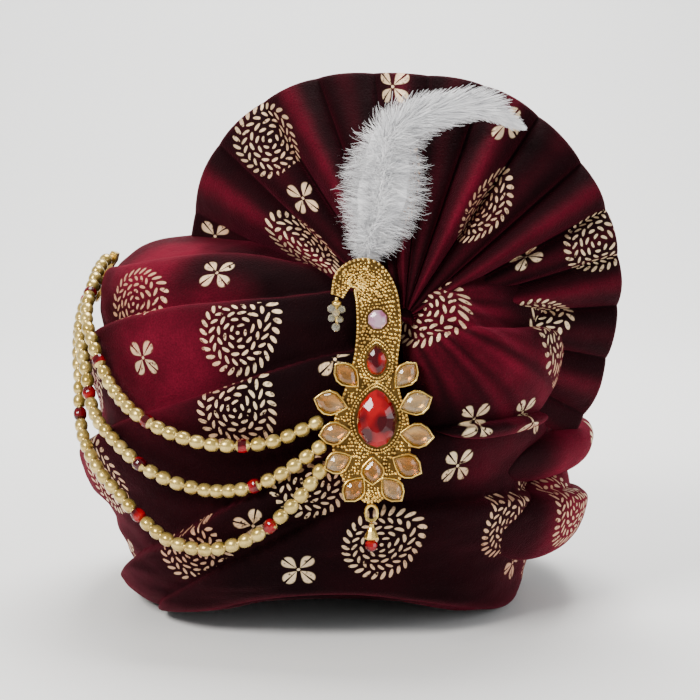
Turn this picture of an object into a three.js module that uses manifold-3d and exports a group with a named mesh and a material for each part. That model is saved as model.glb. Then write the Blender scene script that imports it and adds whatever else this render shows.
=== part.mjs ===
// A tied turban (pagri) of velvet: a wound crown with a pleated fan crest, a gold paisley brooch with a
// white plume, and three swagged strings of pearls. Millimetres, +Z up, +X to the viewer's right, and the
// front faces -Y. The turban stands on its rim at z = 0, and the rim arches up over the forehead.
// Every soft piece is a row of closed loops, worked out from a short table and joined into one skin.
import * as THREE from "three";
import { mergeVertices } from "three/addons/utils/BufferGeometryUtils.js";
import Module from "manifold-3d";

const wasm = await Module();
wasm.setup();

// Driving dimensions
const headAxis = { x: -9, y: 4 };
const centring = { x: 3.2, y: -1.6 };
const hollow = { halfWidth: 78, halfDepth: 97, wallTop: 88, ceiling: 150, flatShare: 0.28 };
const rimArch = { lift: 24, halfAngle: 74, fadeShare: 0.3 };
const roundness = 2.2;
const levelling = 4;
const gap = 0.3;
const pearl = { radius: 3.4, pitch: 7.3, neck: 1.2, sides: 10, sink: 0.1 };

// The crown's outline: half-extents from the head's axis at each height, from the rim to the top.
const crownSections = [
  { z: 0, left: 92, right: 98, front: 104, back: 107 },
  { z: 14, left: 102, right: 102, front: 107, back: 112 },
  { z: 38, left: 113, right: 105, front: 110, back: 117 },
  { z: 68, left: 123, right: 105, front: 113, back: 120 },
  { z: 100, left: 123, right: 104, front: 113, back: 120 },
  { z: 130, left: 121, right: 101, front: 108, back: 116 },
  { z: 156, left: 119, right: 95, front: 97, back: 107 },
  { z: 176, left: 111, right: 82, front: 78, back: 90 },
  { z: 187, left: 92, right: 60, front: 50, back: 62 },
  { z: 191, left: 52, right: 32, front: 24, back: 32 },
];

// The layers of the winding. Each upper edge has its height at eight places round the head, stands out
// by a distance and fades away downwards over its reach.
const places = ["front", "frontLeft", "left", "backLeft", "back", "backRight", "right", "frontRight"];
const layers = [
  {
    front: 180, frontLeft: 184, left: 172, backLeft: 158,
    back: 166, backRight: 178, right: 186, frontRight: 184,
    proud: 5, reach: 34,
  },
  {
    front: 168, frontLeft: 160, left: 137, backLeft: 122,
    back: 134, backRight: 152, right: 166, frontRight: 172,
    proud: 9, reach: 44,
  },
  {
    front: 142, frontLeft: 112, left: 78, backLeft: 72, back: 98, backRight: 118, right: 138, frontRight: 146,
    proud: 10, reach: 42,
  },
  {
    front: 97, frontLeft: 46, left: 14, backLeft: 24, back: 58, backRight: 80, right: 94, frontRight: 108,
    proud: 10, reach: 42,
  },
  {
    front: 68, frontLeft: 20, left: -20, backLeft: -10, back: 22, backRight: 42, right: 56, frontRight: 68,
    proud: 8, reach: 36,
  },
];
const layerLip = 14;

// Padded folds that lie on the crown: turn of the middle in degrees from the front to the viewer's left,
// its height, half the spread in degrees and in mm, how far it stands out and how squarely it swells, and
// its gathers: their depth, and the turn and height that they run out from.
const paddedFolds = [
  {
    name: "side_drape", turn: -45, z: 135, halfTurn: 28, halfHeight: 36, proud: 17, fullness: 3,
    gatherDepth: 1.6, gatherTurn: -14, gatherHeight: 172,
  },
  {
    name: "tail_fold_upper", turn: -100, z: 80, halfTurn: 50, halfHeight: 17, proud: 25, fullness: 3.2,
    gatherDepth: 0, gatherTurn: -40, gatherHeight: 80,
  },
  {
    name: "tail_fold_lower", turn: -98, z: 46, halfTurn: 54, halfHeight: 25, proud: 23, fullness: 3.2,
    gatherDepth: 0, gatherTurn: -20, gatherHeight: 80,
  },
];

// The fan crest spreads from its knot. Its rim, every 26 degrees from the left over the top to the lower
// right: distance out from the knot as seen from the front, and depth behind it.
const knot = { x: 25, y: -106, z: 160 };
const fan = { heart: 8, thickness: 3.4, firstBearing: 168, bearingStep: 26, leanPower: 1.15 };
const fanRim = [
  { radius: 112, depth: 116 },
  { radius: 121.5, depth: 106 },
  { radius: 121, depth: 90 },
  { radius: 114.5, depth: 78 },
  { radius: 117, depth: 72 },
  { radius: 115.5, depth: 70 },
  { radius: 113.5, depth: 70 },
  { radius: 111, depth: 74 },
  { radius: 116, depth: 84 },
];
// The pleats of the fan: the bearing of each ridge, and how far it stands in front of its valleys.
const pleats = [
  { bearing: 168, height: 6 },
  { bearing: 149, height: 13 },
  { bearing: 133, height: 8 },
  { bearing: 118, height: 14 },
  { bearing: 104, height: 8 },
  { bearing: 90, height: 13 },
  { bearing: 76, height: 9 },
  { bearing: 61, height: 15 },
  { bearing: 45, height: 9 },
  { bearing: 30, height: 13 },
  { bearing: 18, height: 8 },
  { bearing: 5, height: 12 },
  { bearing: -9, height: 9 },
  { bearing: -24, height: 12 },
  { bearing: -40, height: 6 },
];

// The plume: the middle of the feather with its half-width and half-thickness, from the quill to the tip.
const plumeStations = [
  { x: 8, y: -102, z: 185, half: 2.5, thick: 1.2 },
  { x: 9, y: -100, z: 195, half: 11, thick: 3.6 },
  { x: 13, y: -95, z: 209, half: 18, thick: 6.5 },
  { x: 16, y: -88, z: 225, half: 20, thick: 8 },
  { x: 17, y: -82, z: 239, half: 16, thick: 6.5 },
  { x: 25, y: -77, z: 250, half: 10, thick: 4.5 },
  { x: 42, y: -71, z: 256, half: 7.5, thick: 3 },
  { x: 62, y: -67, z: 257, half: 6.5, thick: 2.2 },
  { x: 85, y: -64, z: 248, half: 1.2, thick: 1 },
];
const plumeLocks = { count: 9, flare: 0.3 };

// The brooch leans back on the crown. In its own frame x runs across, z up from the lower tip, and the
// front faces -y. Its plate follows a spine that rises from the tip and curls over to the left in a hook.
const brooch = { x: 10, y: -124.6, z: 76, lean: 8.6, thickness: 3, bevel: 0.9, pinRadius: 0.8 };
const broochSpine = [
  { x: 0, z: 0, half: 3.5 },
  { x: 0, z: 8, half: 12 },
  { x: 0, z: 22, half: 18 },
  { x: 0, z: 38, half: 17.5 },
  { x: 0.5, z: 52, half: 13 },
  { x: 2, z: 66, half: 10.5 },
  { x: 3.5, z: 82, half: 10.5 },
  { x: 2, z: 97, half: 10 },
  { x: -3, z: 105.5, half: 8.5 },
  { x: -12, z: 104.5, half: 5.5 },
  { x: -16, z: 96, half: 3.2 },
];
// Red drop-cut stones: middle, half-width, half-height and height above the plate.
const rubies = [
  { name: "ruby_large", x: 2.4, z: 39, halfWidth: 9.5, halfHeight: 13.5, height: 5.5 },
  { name: "ruby_small", x: 2.4, z: 66, halfWidth: 4.8, halfHeight: 7, height: 4 },
];
const roseCrystal = { x: 2.8, z: 85, radius: 4.6, height: 3 };
// Leaf-shaped crystals in petals round the plate: middle, bearing of the tip, length and width.
const petals = [
  { x: -11.5, z: 59, bearing: 135, long: 13, wide: 8 },
  { x: 16, z: 59, bearing: 50, long: 13, wide: 8 },
  { x: -19, z: 46, bearing: 165, long: 14, wide: 9 },
  { x: 20.5, z: 46, bearing: 20, long: 14, wide: 9 },
  { x: -17, z: 32, bearing: 188, long: 13, wide: 8.5 },
  { x: 21, z: 31, bearing: -6, long: 14, wide: 9 },
  { x: -15.5, z: 18.5, bearing: 205, long: 12, wide: 8 },
  { x: 16.5, z: 17, bearing: -28, long: 13, wide: 9 },
  { x: -8, z: 6, bearing: 232, long: 12, wide: 8 },
  { x: 9.5, z: 6, bearing: -50, long: 12, wide: 8 },
  { x: 0.5, z: 14.5, bearing: 270, long: 11, wide: 8.5 },
];

// The drops, each from its top down: radii and heights of their profiles. One hangs from the hook and the
// other, a loop, a small bell and a red bead, from the brooch's lower tip.
const hookDrop = {
  x: -6.2,
  y: -112.2,
  profile: [
    { radius: 0, z: 170.4 },
    { radius: 0.9, z: 170.1 },
    { radius: 0.9, z: 169 },
    { radius: 2.3, z: 167.2 },
    { radius: 2.3, z: 165.4 },
    { radius: 1, z: 163.8 },
    { radius: 2, z: 162.2 },
    { radius: 2, z: 161 },
    { radius: 0.9, z: 159.6 },
    { radius: 1.9, z: 158 },
    { radius: 1.3, z: 156.2 },
    { radius: 0, z: 155.6 },
  ],
};
const tipDrop = { y: -126.1, loopRadius: 2.8, loopWire: 0.7, loopStretch: 1.35, beadRadius: 3, beadZ: 55.3 };
const bellProfile = [
  { radius: 0, z: 66 },
  { radius: 1.1, z: 65.8 },
  { radius: 1.3, z: 64 },
  { radius: 2.2, z: 62.5 },
  { radius: 3.4, z: 59.4 },
  { radius: 3.4, z: 58.7 },
  { radius: 0, z: 58.7 },
];

// The strings of pearls: turn and height on the crown, from the brooch to the clasp behind the left side.
const pearlStrings = [
  {
    name: "pearl_string_upper",
    route: [
      { turn: 5, z: 109 },
      { turn: 14, z: 101.5 },
      { turn: 25, z: 99.5 },
      { turn: 36, z: 103.5 },
      { turn: 47, z: 112 },
      { turn: 57, z: 123.5 },
      { turn: 65, z: 140 },
      { turn: 75, z: 155 },
      { turn: 86, z: 167 },
      { turn: 96, z: 173 },
    ],
  },
  {
    name: "pearl_string_middle",
    route: [
      { turn: 4, z: 98 },
      { turn: 12, z: 87 },
      { turn: 21, z: 79.5 },
      { turn: 31, z: 77.5 },
      { turn: 41, z: 84 },
      { turn: 52, z: 97 },
      { turn: 62, z: 109 },
      { turn: 69, z: 127 },
      { turn: 78, z: 145 },
      { turn: 88, z: 158 },
      { turn: 96, z: 164.5 },
    ],
  },
  {
    name: "pearl_string_lower",
    route: [
      { turn: 3.5, z: 87 },
      { turn: 9, z: 73 },
      { turn: 17, z: 59 },
      { turn: 28, z: 51.5 },
      { turn: 39, z: 55.5 },
      { turn: 50, z: 68 },
      { turn: 60, z: 84 },
      { turn: 69, z: 100 },
      { turn: 75, z: 120 },
      { turn: 84, z: 140 },
      { turn: 96, z: 156 },
    ],
  },
];

const velvet = new THREE.MeshStandardMaterial({ color: 0x4a0d18, roughness: 0.85, metalness: 0 });
const gold = new THREE.MeshStandardMaterial({ color: 0xc9962f, roughness: 0.3, metalness: 1 });
const ruby = new THREE.MeshStandardMaterial({ color: 0xc4121c, roughness: 0.08, metalness: 0 });
const crystal = new THREE.MeshStandardMaterial({ color: 0xd8b98c, roughness: 0.06, metalness: 0 });
const pearlFinish = new THREE.MeshStandardMaterial({ color: 0xdcc07c, roughness: 0.25, metalness: 0 });
const down = new THREE.MeshStandardMaterial({ color: 0xf2f2f0, roughness: 0.9, metalness: 0 });

const range = (count, make) => Array.from({ length: count }, (_, i) => make(i));
const radians = THREE.MathUtils.degToRad;
const point = (x, y, z) => new THREE.Vector3(x, y, z);

// A column of a table on a smooth curve through all its rows, for a share from the first row to the last.
function sample(rows, column, share) {
  const place = THREE.MathUtils.clamp(share, 0, 1) * (rows.length - 1);
  const row = Math.min(Math.floor(place), rows.length - 2);
  const value = (i) => rows[THREE.MathUtils.clamp(i, 0, rows.length - 1)][column];
  return smoothStep(value(row - 1), value(row), value(row + 1), value(row + 2), place - row);
}

// The smooth curve from b to c, with a and d as the values before and after them.
function smoothStep(a, b, c, d, t) {
  const leave = (c - a) / 2;
  const arrive = (d - b) / 2;
  const drop = b - c;
  return b + t * (leave + t * (-3 * drop - 2 * leave - arrive + t * (2 * drop + leave + arrive)));
}

// How far the front rim rises at a turn from the front.
function archAt(turn) {
  const aside = Math.abs(THREE.MathUtils.euclideanModulo(turn + 180, 360) - 180);
  const part = Math.min(aside / rimArch.halfAngle, 1);
  return rimArch.lift * Math.cos((Math.PI / 2) * part) ** 2;
}

// A point of the crown's plain outline, for a turn in degrees and a share from the rim to the top.
function outline(turn, share) {
  const across = -Math.sin(radians(turn));
  const away = -Math.cos(radians(turn));
  const halfX = sample(crownSections, across < 0 ? "left" : "right", share);
  const halfY = sample(crownSections, away < 0 ? "front" : "back", share);
  const stretch = (Math.abs(across) / halfX) ** roundness + (Math.abs(away) / halfY) ** roundness;
  const out = stretch ** (-1 / roundness);
  const lift = archAt(turn) * Math.max(0, 1 - share / rimArch.fadeShare) ** 2;
  return point(headAxis.x + across * out, headAxis.y + away * out, sample(crownSections, "z", share) + lift);
}

// The way out of the crown's outline at a point, turned level towards the rim.
function outlineNormal(turn, share) {
  const upward = outline(turn, Math.min(share + 0.01, 1)).sub(outline(turn, Math.max(share - 0.01, 0)));
  const leftward = outline(turn + 1, share).sub(outline(turn - 1, share));
  const out = leftward.cross(upward).negate().normalize();
  return out.setZ(out.z * Math.min(1, share * levelling)).normalize();
}

// The height of a layer's upper edge at a turn.
function edgeHeight(layer, turn) {
  const place = (THREE.MathUtils.euclideanModulo(turn, 360) / 360) * places.length;
  const first = Math.floor(place);
  const value = (i) => layer[places[THREE.MathUtils.euclideanModulo(i, places.length)]];
  return smoothStep(value(first - 1), value(first), value(first + 1), value(first + 2), place - first);
}

// How far the layers stand out of the plain outline at a turn and height.
function layerRelief(turn, z) {
  return layers.reduce((relief, layer) => {
    const below = edgeHeight(layer, turn) - z;
    if (below <= 0 || below >= layer.reach) return relief;
    const shoulder = Math.sin((Math.PI / 2) * Math.min(below / layerLip, 1));
    const fading = Math.max(0, (below - layerLip) / (layer.reach - layerLip));
    return Math.max(relief, layer.proud * shoulder * (0.5 + 0.5 * Math.cos(Math.PI * fading)));
  }, 0);
}

// A point of the wound crown, stood off its cloth by a distance.
function onCrown(turn, share, off = 0) {
  const at = outline(turn, share);
  return at.clone().addScaledVector(outlineNormal(turn, share), layerRelief(turn, at.z) + off);
}

// The share of the way up the crown that has a height.
function shareAt(z) {
  let [low, high] = [0, 1];
  while (high - low > 1e-6) {
    const middle = (low + high) / 2;
    if (sample(crownSections, "z", middle) < z) low = middle;
    else high = middle;
  }
  return low;
}

// A closed skin over a row of loops of equally many points. Each end loop is closed to its middle.
function skinOver(loops) {
  const around = loops[0].length;
  const middle = (loop) => loop.reduce((sum, p) => sum.add(p), point(0, 0, 0)).divideScalar(around);
  const points = [...loops.flat(), middle(loops[0]), middle(loops.at(-1))];
  const last = (loops.length - 1) * around;
  const faces = [];
  for (let j = 0; j < around; j++) {
    const next = (j + 1) % around;
    for (let i = 0; i < last; i += around) {
      faces.push([i + j, i + next, i + next + around], [i + j, i + next + around, i + j + around]);
    }
    faces.push([next, j, points.length - 2], [last + j, last + next, points.length - 1]);
  }
  const volume = faces.reduce((sum, [a, b, c]) => sum + points[a].dot(points[b].clone().cross(points[c])), 0);
  if (volume < 0) faces.forEach((face) => face.reverse());
  return new THREE.BufferGeometry().setFromPoints(points).setIndex(faces.flat());
}

function solidOf(geometry) {
  const bare = geometry.clone();
  bare.deleteAttribute("normal");
  bare.deleteAttribute("uv");
  const { attributes, index } = mergeVertices(bare, 1e-4);
  const vertProperties = attributes.position.array;
  const triVerts = new Uint32Array(index.array);
  return new wasm.Manifold(new wasm.Mesh({ numProp: 3, vertProperties, triVerts }));
}

// The geometry of a solid's largest body: a cut can leave crumbs beside it.
function geometryOf(solid) {
  const body = solid.decompose().reduce((best, other) => (other.volume() > best.volume() ? other : best));
  const { vertProperties, triVerts } = body.getMesh();
  const geometry = new THREE.BufferGeometry();
  geometry.setAttribute("position", new THREE.BufferAttribute(vertProperties, 3));
  return geometry.setIndex(new THREE.BufferAttribute(triVerts, 1));
}

// The loops of the crown's outside, from the top down to the rim, stood off its cloth by a distance.
const crownTurns = 48;
const crownRows = 20;
function crownLoops(off) {
  const loopAt = (share) => range(crownTurns, (i) => onCrown((360 * i) / crownTurns, share, off));
  return range(crownRows, (i) => loopAt(1 - i / (crownRows - 1)));
}

// The loops of the head's hollow, from the rim up its wall and over its dome to the flat ceiling.
const domeRows = 5;
function hollowLoops() {
  const ovalAt = (size, height) =>
    range(crownTurns, (i) => {
      const turn = (360 * i) / crownTurns;
      const x = headAxis.x - Math.sin(radians(turn)) * hollow.halfWidth * size;
      const y = headAxis.y - Math.cos(radians(turn)) * hollow.halfDepth * size;
      return point(x, y, height ?? archAt(turn));
    });
  const dome = range(domeRows, (i) => {
    const inward = i / (domeRows - 1);
    const size = 1 - (1 - hollow.flatShare) * inward;
    const rise = (hollow.ceiling - hollow.wallTop) * Math.sqrt(1 - (1 - inward) ** 2);
    return ovalAt(size, hollow.wallTop + rise);
  });
  return [ovalAt(1, null), ...dome];
}

// A padded fold's skin: rings that swell over the crown, closed by rings sunk in the crown, less the crown.
const foldAround = 28;
const foldRings = 5;
const foldTuck = 2;
function paddedFold(fold, beneath) {
  const ring = (size, swell) =>
    range(foldAround, (i) => {
      const angle = (2 * Math.PI * i) / foldAround;
      const turn = fold.turn + fold.halfTurn * size * Math.cos(angle);
      const z = fold.z + fold.halfHeight * size * Math.sin(angle);
      const bearing = Math.atan2(z - fold.gatherHeight, 2 * (turn - fold.gatherTurn));
      return onCrown(turn, shareAt(z), swell + fold.gatherDepth * size * Math.cos(16 * bearing));
    });
  const outside = range(foldRings, (i) => {
    const size = (i + 1) / foldRings;
    return ring(size, (fold.proud + foldTuck) * Math.sqrt(1 - size ** fold.fullness) - foldTuck);
  });
  return geometryOf(solidOf(skinOver([...outside, ring(0.96, -7), ring(0.5, -7)])).subtract(beneath));
}

// The fan: sections of doubled cloth from the heart to the rim, swept round the knot pleat by pleat.
const stationsPerPleat = 4;
const fanRows = 5;
function fanCloth(cutters) {
  const stations = (pleats.length - 1) * stationsPerPleat + 1;
  const section = (share) => {
    const bearing = sample(pleats, "bearing", share);
    const rimShare = (fan.firstBearing - bearing) / (fan.bearingStep * (fanRim.length - 1));
    const ridge = Math.cos(2 * Math.PI * share * (pleats.length - 1)) / 2;
    const face = (out, side) => {
      const radius = fan.heart + (sample(fanRim, "radius", rimShare) - fan.heart) * out;
      const relief = sample(pleats, "height", share) * ridge * Math.sin(Math.PI * (0.12 + 0.72 * out));
      const cloth = side * (fan.thickness / 2) * (1 - 0.4 * out ** 4);
      const depth = sample(fanRim, "depth", rimShare) * out ** fan.leanPower - relief + cloth;
      const x = knot.x + radius * Math.cos(radians(bearing));
      return point(x, knot.y + depth, knot.z + radius * Math.sin(radians(bearing)));
    };
    const shares = range(fanRows, (j) => j / (fanRows - 1));
    return [...shares.map((out) => face(out, -1)), ...shares.reverse().map((out) => face(out, 1))];
  };
  const whole = solidOf(skinOver(range(stations, (i) => section(i / (stations - 1)))));
  return geometryOf(cutters.reduce((solid, cutter) => solid.subtract(cutter), whole));
}

// The plume: a soft body whose width swells and nips in at each lock of down.
function plumeGeometry() {
  const stations = 3 * plumeLocks.count + 1;
  const middleAt = (share) => point(...["x", "y", "z"].map((column) => sample(plumeStations, column, share)));
  const loops = range(stations, (i) => {
    const share = i / (stations - 1);
    const onward = middleAt(Math.min(share + 0.02, 1)).sub(middleAt(Math.max(share - 0.02, 0)));
    const across = point(onward.z, 0, -onward.x).normalize();
    const lock = 1 + plumeLocks.flare * (((i % 3) / 2) - 0.5) * Math.sin(Math.PI * share) ** 0.5;
    return range(8, (j) => {
      const angle = (Math.PI * j) / 4;
      const wide = Math.cos(angle) * sample(plumeStations, "half", share) * lock;
      const deep = Math.sin(angle) * sample(plumeStations, "thick", share);
      return middleAt(share).addScaledVector(across, wide).add(point(0, deep, 0));
    });
  });
  return skinOver(loops);
}

// A flat leaf outline about the origin, blunt at its root and pointed at its tip, on the plane y.
function leafLoop(long, wide, size, y) {
  const half = [0, 0.55, 0.95, 1, 0.72, 0];
  const upper = half.map((width, i) => [(i / 5 - 0.5) * long, (width * wide) / 2]);
  const lower = upper.slice(1, -1).reverse().map(([x, z]) => [x, -z]);
  return [...upper, ...lower].map(([x, z]) => point(x * size, y, z * size));
}

function turnInPlate(geometry, petal) {
  return geometry.rotateY(-radians(petal.bearing)).translate(petal.x, 0, petal.z);
}

// The brooch's plate: the paisley body on its spine, a petal under each crystal and the pin at the back.
function broochPlate() {
  const stations = 26;
  const at = (share) => point(sample(broochSpine, "x", share), 0, sample(broochSpine, "z", share));
  const body = skinOver(
    range(stations, (i) => {
      const share = i / (stations - 1);
      const onward = at(Math.min(share + 0.02, 1)).sub(at(Math.max(share - 0.02, 0)));
      const across = point(onward.z, 0, -onward.x).normalize();
      const half = sample(broochSpine, "half", share);
      const flat = half - brooch.bevel;
      const edge = -brooch.thickness + brooch.bevel;
      const rightHalf = [[half, 0], [half, edge], [flat, -brooch.thickness]];
      const leftHalf = rightHalf.toReversed().map(([side, y]) => [-side, y]);
      const corners = [...rightHalf, ...leftHalf];
      return corners.map(([side, y]) => at(share).addScaledVector(across, side).add(point(0, y, 0)));
    }),
  );
  const pin = new THREE.CylinderGeometry(brooch.pinRadius, brooch.pinRadius, 60, 8);
  pin.rotateX(Math.PI / 2).translate(0, 0.3, 44);
  const settings = petals.map((petal) => {
    const loops = [0, -brooch.thickness].map((y) => leafLoop(petal.long + 2.4, petal.wide + 2.4, 1, y));
    return solidOf(turnInPlate(skinOver(loops), petal));
  });
  return geometryOf(settings.reduce((solid, setting) => solid.add(setting), solidOf(body)));
}

// A cut stone on the plate: girdle, crown facets and a flat table, from an outline given as a loop.
function cutStone(loopAt, height) {
  const base = -brooch.thickness - gap;
  return skinOver([
    loopAt(0.88, base),
    loopAt(1, base - 0.4 * height),
    loopAt(0.84, base - 0.75 * height),
    loopAt(0.5, base - height),
  ]);
}

// The outline of a drop-cut stone: round below and drawn up to a point.
const dropLoop = (stone) => (size, y) =>
  range(12, (i) => {
    const angle = (Math.PI * i) / 6;
    const narrowing = 1 - 0.42 * Math.max(0, Math.sin(angle)) ** 2;
    const x = stone.x + stone.halfWidth * size * Math.cos(angle) * narrowing;
    return point(x, y, stone.z + stone.halfHeight * size * Math.sin(angle));
  });

const roundLoop = (stone) => (size, y) =>
  range(8, (i) => {
    const angle = (Math.PI * (i + 0.5)) / 4;
    const reach = stone.radius * size;
    return point(stone.x + reach * Math.cos(angle), y, stone.z + reach * Math.sin(angle));
  });

// A small turned piece about a vertical line, from its profile's radii and heights, top first.
function turned(profile, x, y) {
  const upward = profile.toReversed().map(({ radius, z }) => new THREE.Vector2(radius, z));
  return new THREE.LatheGeometry(upward, 10).rotateX(Math.PI / 2).translate(x, y, 0);
}

// A string's middle line: it lies on the crown and bridges the steps under the layers' edges.
function stringLine(route) {
  const steps = 100;
  const spots = range(steps + 1, (i) => {
    return { turn: sample(route, "turn", i / steps), z: sample(route, "z", i / steps) };
  });
  const near = (values, i) => values.slice(Math.max(i - 6, 0), i + 7);
  const mean = (values) => values.reduce((sum, value) => sum + value, 0) / values.length;
  const reliefs = spots.map(({ turn, z }) => {
    return Math.max(layerRelief(turn, z - 4), layerRelief(turn, z), layerRelief(turn, z + 4));
  });
  const bridged = reliefs.map((_, i) => Math.max(...near(reliefs, i)));
  const eased = bridged.map((_, i) => mean(near(bridged, i)));
  const stand = pearl.radius - pearl.sink;
  const points = spots.map(({ turn, z }, i) => {
    const share = shareAt(z);
    return outline(turn, share).addScaledVector(outlineNormal(turn, share), eased[i] + stand);
  });
  const line = new THREE.CatmullRomCurve3(points);
  line.arcLengthDivisions = 1000;
  return line;
}

// A whole string of pearls in one skin, which draws in to its thread between each pearl and the next.
function pearlString(line) {
  const pearls = Math.round(line.getLength() / pearl.pitch);
  const profile = [
    { part: 0, radius: pearl.neck },
    { part: 0.22, radius: pearl.radius * 0.92 },
    { part: 0.78, radius: pearl.radius * 0.92 },
  ];
  const ring = (share, radius) => {
    const ahead = line.getTangentAt(share);
    const side = ahead.clone().cross(point(0, 0, 1)).normalize();
    const up = side.clone().cross(ahead);
    return range(pearl.sides, (i) => {
      const angle = (2 * Math.PI * i) / pearl.sides;
      const out = side.clone().multiplyScalar(Math.cos(angle)).addScaledVector(up, Math.sin(angle));
      return line.getPointAt(share).addScaledVector(out, radius);
    });
  };
  const loops = range(pearls, (i) => profile.map(({ part, radius }) => ring((i + part) / pearls, radius)));
  return skinOver([...loops.flat(), ring(1, pearl.neck)]);
}

// The clasp: a short bar, sewn to the cloth, that the three strings end at.
function claspBar(lines) {
  const ends = lines.map((line) => ({ at: line.getPointAt(1), ahead: line.getTangentAt(1) }));
  const along = ends[2].at.clone().sub(ends[0].at).normalize();
  const stations = [ends[0].at.clone().addScaledVector(along, -4), ...ends.map(({ at }) => at)];
  stations.push(ends[2].at.clone().addScaledVector(along, 4));
  const aheads = [ends[0], ...ends, ends[2]].map(({ ahead }) => ahead);
  return skinOver(
    stations.map((at, i) => {
      const out = along.clone().cross(aheads[i]).normalize();
      const across = out.clone().cross(along);
      const forward = across.dot(aheads[i]) < 0 ? across.negate() : across;
      const size = i === 0 || i === stations.length - 1 ? 0.7 : 1;
      const corners = [[0, -2.4], [0, 2.4], [4, 2.4], [5, 0], [4, -2.4]];
      return corners.map(([ahead, aside]) =>
        at.clone().addScaledVector(forward, ahead + 3 * gap).addScaledVector(out, aside * size),
      );
    }),
  );
}

// The tables are measured from below the knot. The group moves the middle of the whole outline to the origin.
const turban = new THREE.Group();
turban.position.set(centring.x, centring.y, 0);
function place(name, geometry, material, group = turban) {
  const mesh = new THREE.Mesh(geometry, material);
  mesh.name = name;
  group.add(mesh);
}

const grownCrown = solidOf(skinOver(crownLoops(gap)));
place("crown_wrap", skinOver([...crownLoops(0), ...hollowLoops()]), velvet);

const bareCrown = solidOf(skinOver(crownLoops(0)));
const grownFolds = paddedFolds.map((fold) => {
  const { halfTurn, halfHeight, proud } = fold;
  const grown = { halfTurn: halfTurn + 2 * gap, halfHeight: halfHeight + gap, proud: proud + gap };
  return solidOf(paddedFold({ ...fold, ...grown }, bareCrown));
});
paddedFolds.forEach((fold, i) => {
  const beneath = grownFolds.slice(i + 1).reduce((solid, other) => solid.add(other), grownCrown);
  place(fold.name, paddedFold(fold, beneath), velvet);
});
place("fan_crest", fanCloth([grownCrown, ...grownFolds]), velvet);
place("plume", plumeGeometry(), down);

const broochGroup = new THREE.Group();
broochGroup.position.set(brooch.x, brooch.y, brooch.z);
broochGroup.rotation.x = -radians(brooch.lean);
turban.add(broochGroup);
place("brooch_plate", broochPlate(), gold, broochGroup);
rubies.forEach((stone) => place(stone.name, cutStone(dropLoop(stone), stone.height), ruby, broochGroup));
place("rose_crystal", cutStone(roundLoop(roseCrystal), roseCrystal.height), crystal, broochGroup);
petals.forEach((petal, i) => {
  const leaf = cutStone((size, y) => leafLoop(petal.long, petal.wide, size, y), 2.6);
  place(`petal_crystal_${i + 1}`, turnInPlate(leaf, petal), crystal, broochGroup);
});

place("hook_drop", turned(hookDrop.profile, hookDrop.x, hookDrop.y), gold);
const loopHeight = (tipDrop.loopRadius + tipDrop.loopWire) * tipDrop.loopStretch;
const loop = new THREE.TorusGeometry(tipDrop.loopRadius, tipDrop.loopWire, 5, 12);
loop.scale(1, tipDrop.loopStretch, 1).rotateX(Math.PI / 2);
place("drop_loop", loop.translate(brooch.x, tipDrop.y, brooch.z - gap - loopHeight), gold);
place("drop_bell", turned(bellProfile, brooch.x, tipDrop.y), gold);
const bead = new THREE.SphereGeometry(tipDrop.beadRadius, 10, 6).rotateX(Math.PI / 2);
place("drop_bead", bead.translate(brooch.x, tipDrop.y, tipDrop.beadZ), ruby);

const lines = pearlStrings.map(({ route }) => stringLine(route));
pearlStrings.forEach(({ name }, i) => place(name, pearlString(lines[i]), pearlFinish));
place("string_clasp", claspBar(lines), gold);

const centred = new THREE.Group();
centred.add(turban);
export default centred;
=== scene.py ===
import math

import bmesh
import bpy
import numpy as np
from mathutils import Matrix, Vector, noise


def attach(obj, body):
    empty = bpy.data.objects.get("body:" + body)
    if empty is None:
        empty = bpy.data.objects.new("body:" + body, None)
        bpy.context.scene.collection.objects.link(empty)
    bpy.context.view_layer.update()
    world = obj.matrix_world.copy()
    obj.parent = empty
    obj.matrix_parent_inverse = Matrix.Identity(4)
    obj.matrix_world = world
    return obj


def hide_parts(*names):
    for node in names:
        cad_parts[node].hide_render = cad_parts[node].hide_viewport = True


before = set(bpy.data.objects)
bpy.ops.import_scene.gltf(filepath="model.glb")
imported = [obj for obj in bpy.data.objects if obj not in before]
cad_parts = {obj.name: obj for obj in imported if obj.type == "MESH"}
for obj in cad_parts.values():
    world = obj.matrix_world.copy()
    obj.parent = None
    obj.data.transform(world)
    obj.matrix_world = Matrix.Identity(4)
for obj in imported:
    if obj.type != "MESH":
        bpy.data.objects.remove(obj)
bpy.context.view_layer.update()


# The view: a camera a metre away, straight in front and 8 degrees up, with soft lights from the upper
# left, the right, above and behind, and a wide pale floor that sweeps up behind the turban.
VIEW_HEIGHT = math.radians(8)
VIEW_DISTANCE = 1.0
VIEW_WIDTH = 0.370
VIEW_MIDDLE = Vector((0.0032, -0.0016, 0.130))

camera_data = bpy.data.cameras.new("camera")
camera_data.angle = 2 * math.atan(VIEW_WIDTH / 2 / VIEW_DISTANCE)
camera_data.clip_start = 0.01
camera = bpy.data.objects.new("camera", camera_data)
camera.location = VIEW_MIDDLE + VIEW_DISTANCE * Vector((0, -math.cos(VIEW_HEIGHT), math.sin(VIEW_HEIGHT)))
camera.rotation_euler = (math.pi / 2 - VIEW_HEIGHT, 0, 0)
bpy.context.scene.collection.objects.link(camera)
bpy.context.scene.camera = camera


def soft_light(name, place, size, energy, colour, target=VIEW_MIDDLE):
    """A square studio light that faces the turban's middle or another target."""
    lamp = bpy.data.lights.new(name, "AREA")
    lamp.size = size
    lamp.energy = energy
    lamp.color = colour
    holder = bpy.data.objects.new(name, lamp)
    holder.location = place
    holder.rotation_euler = (Vector(target) - Vector(place)).to_track_quat("-Z", "Y").to_euler()
    bpy.context.scene.collection.objects.link(holder)


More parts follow.
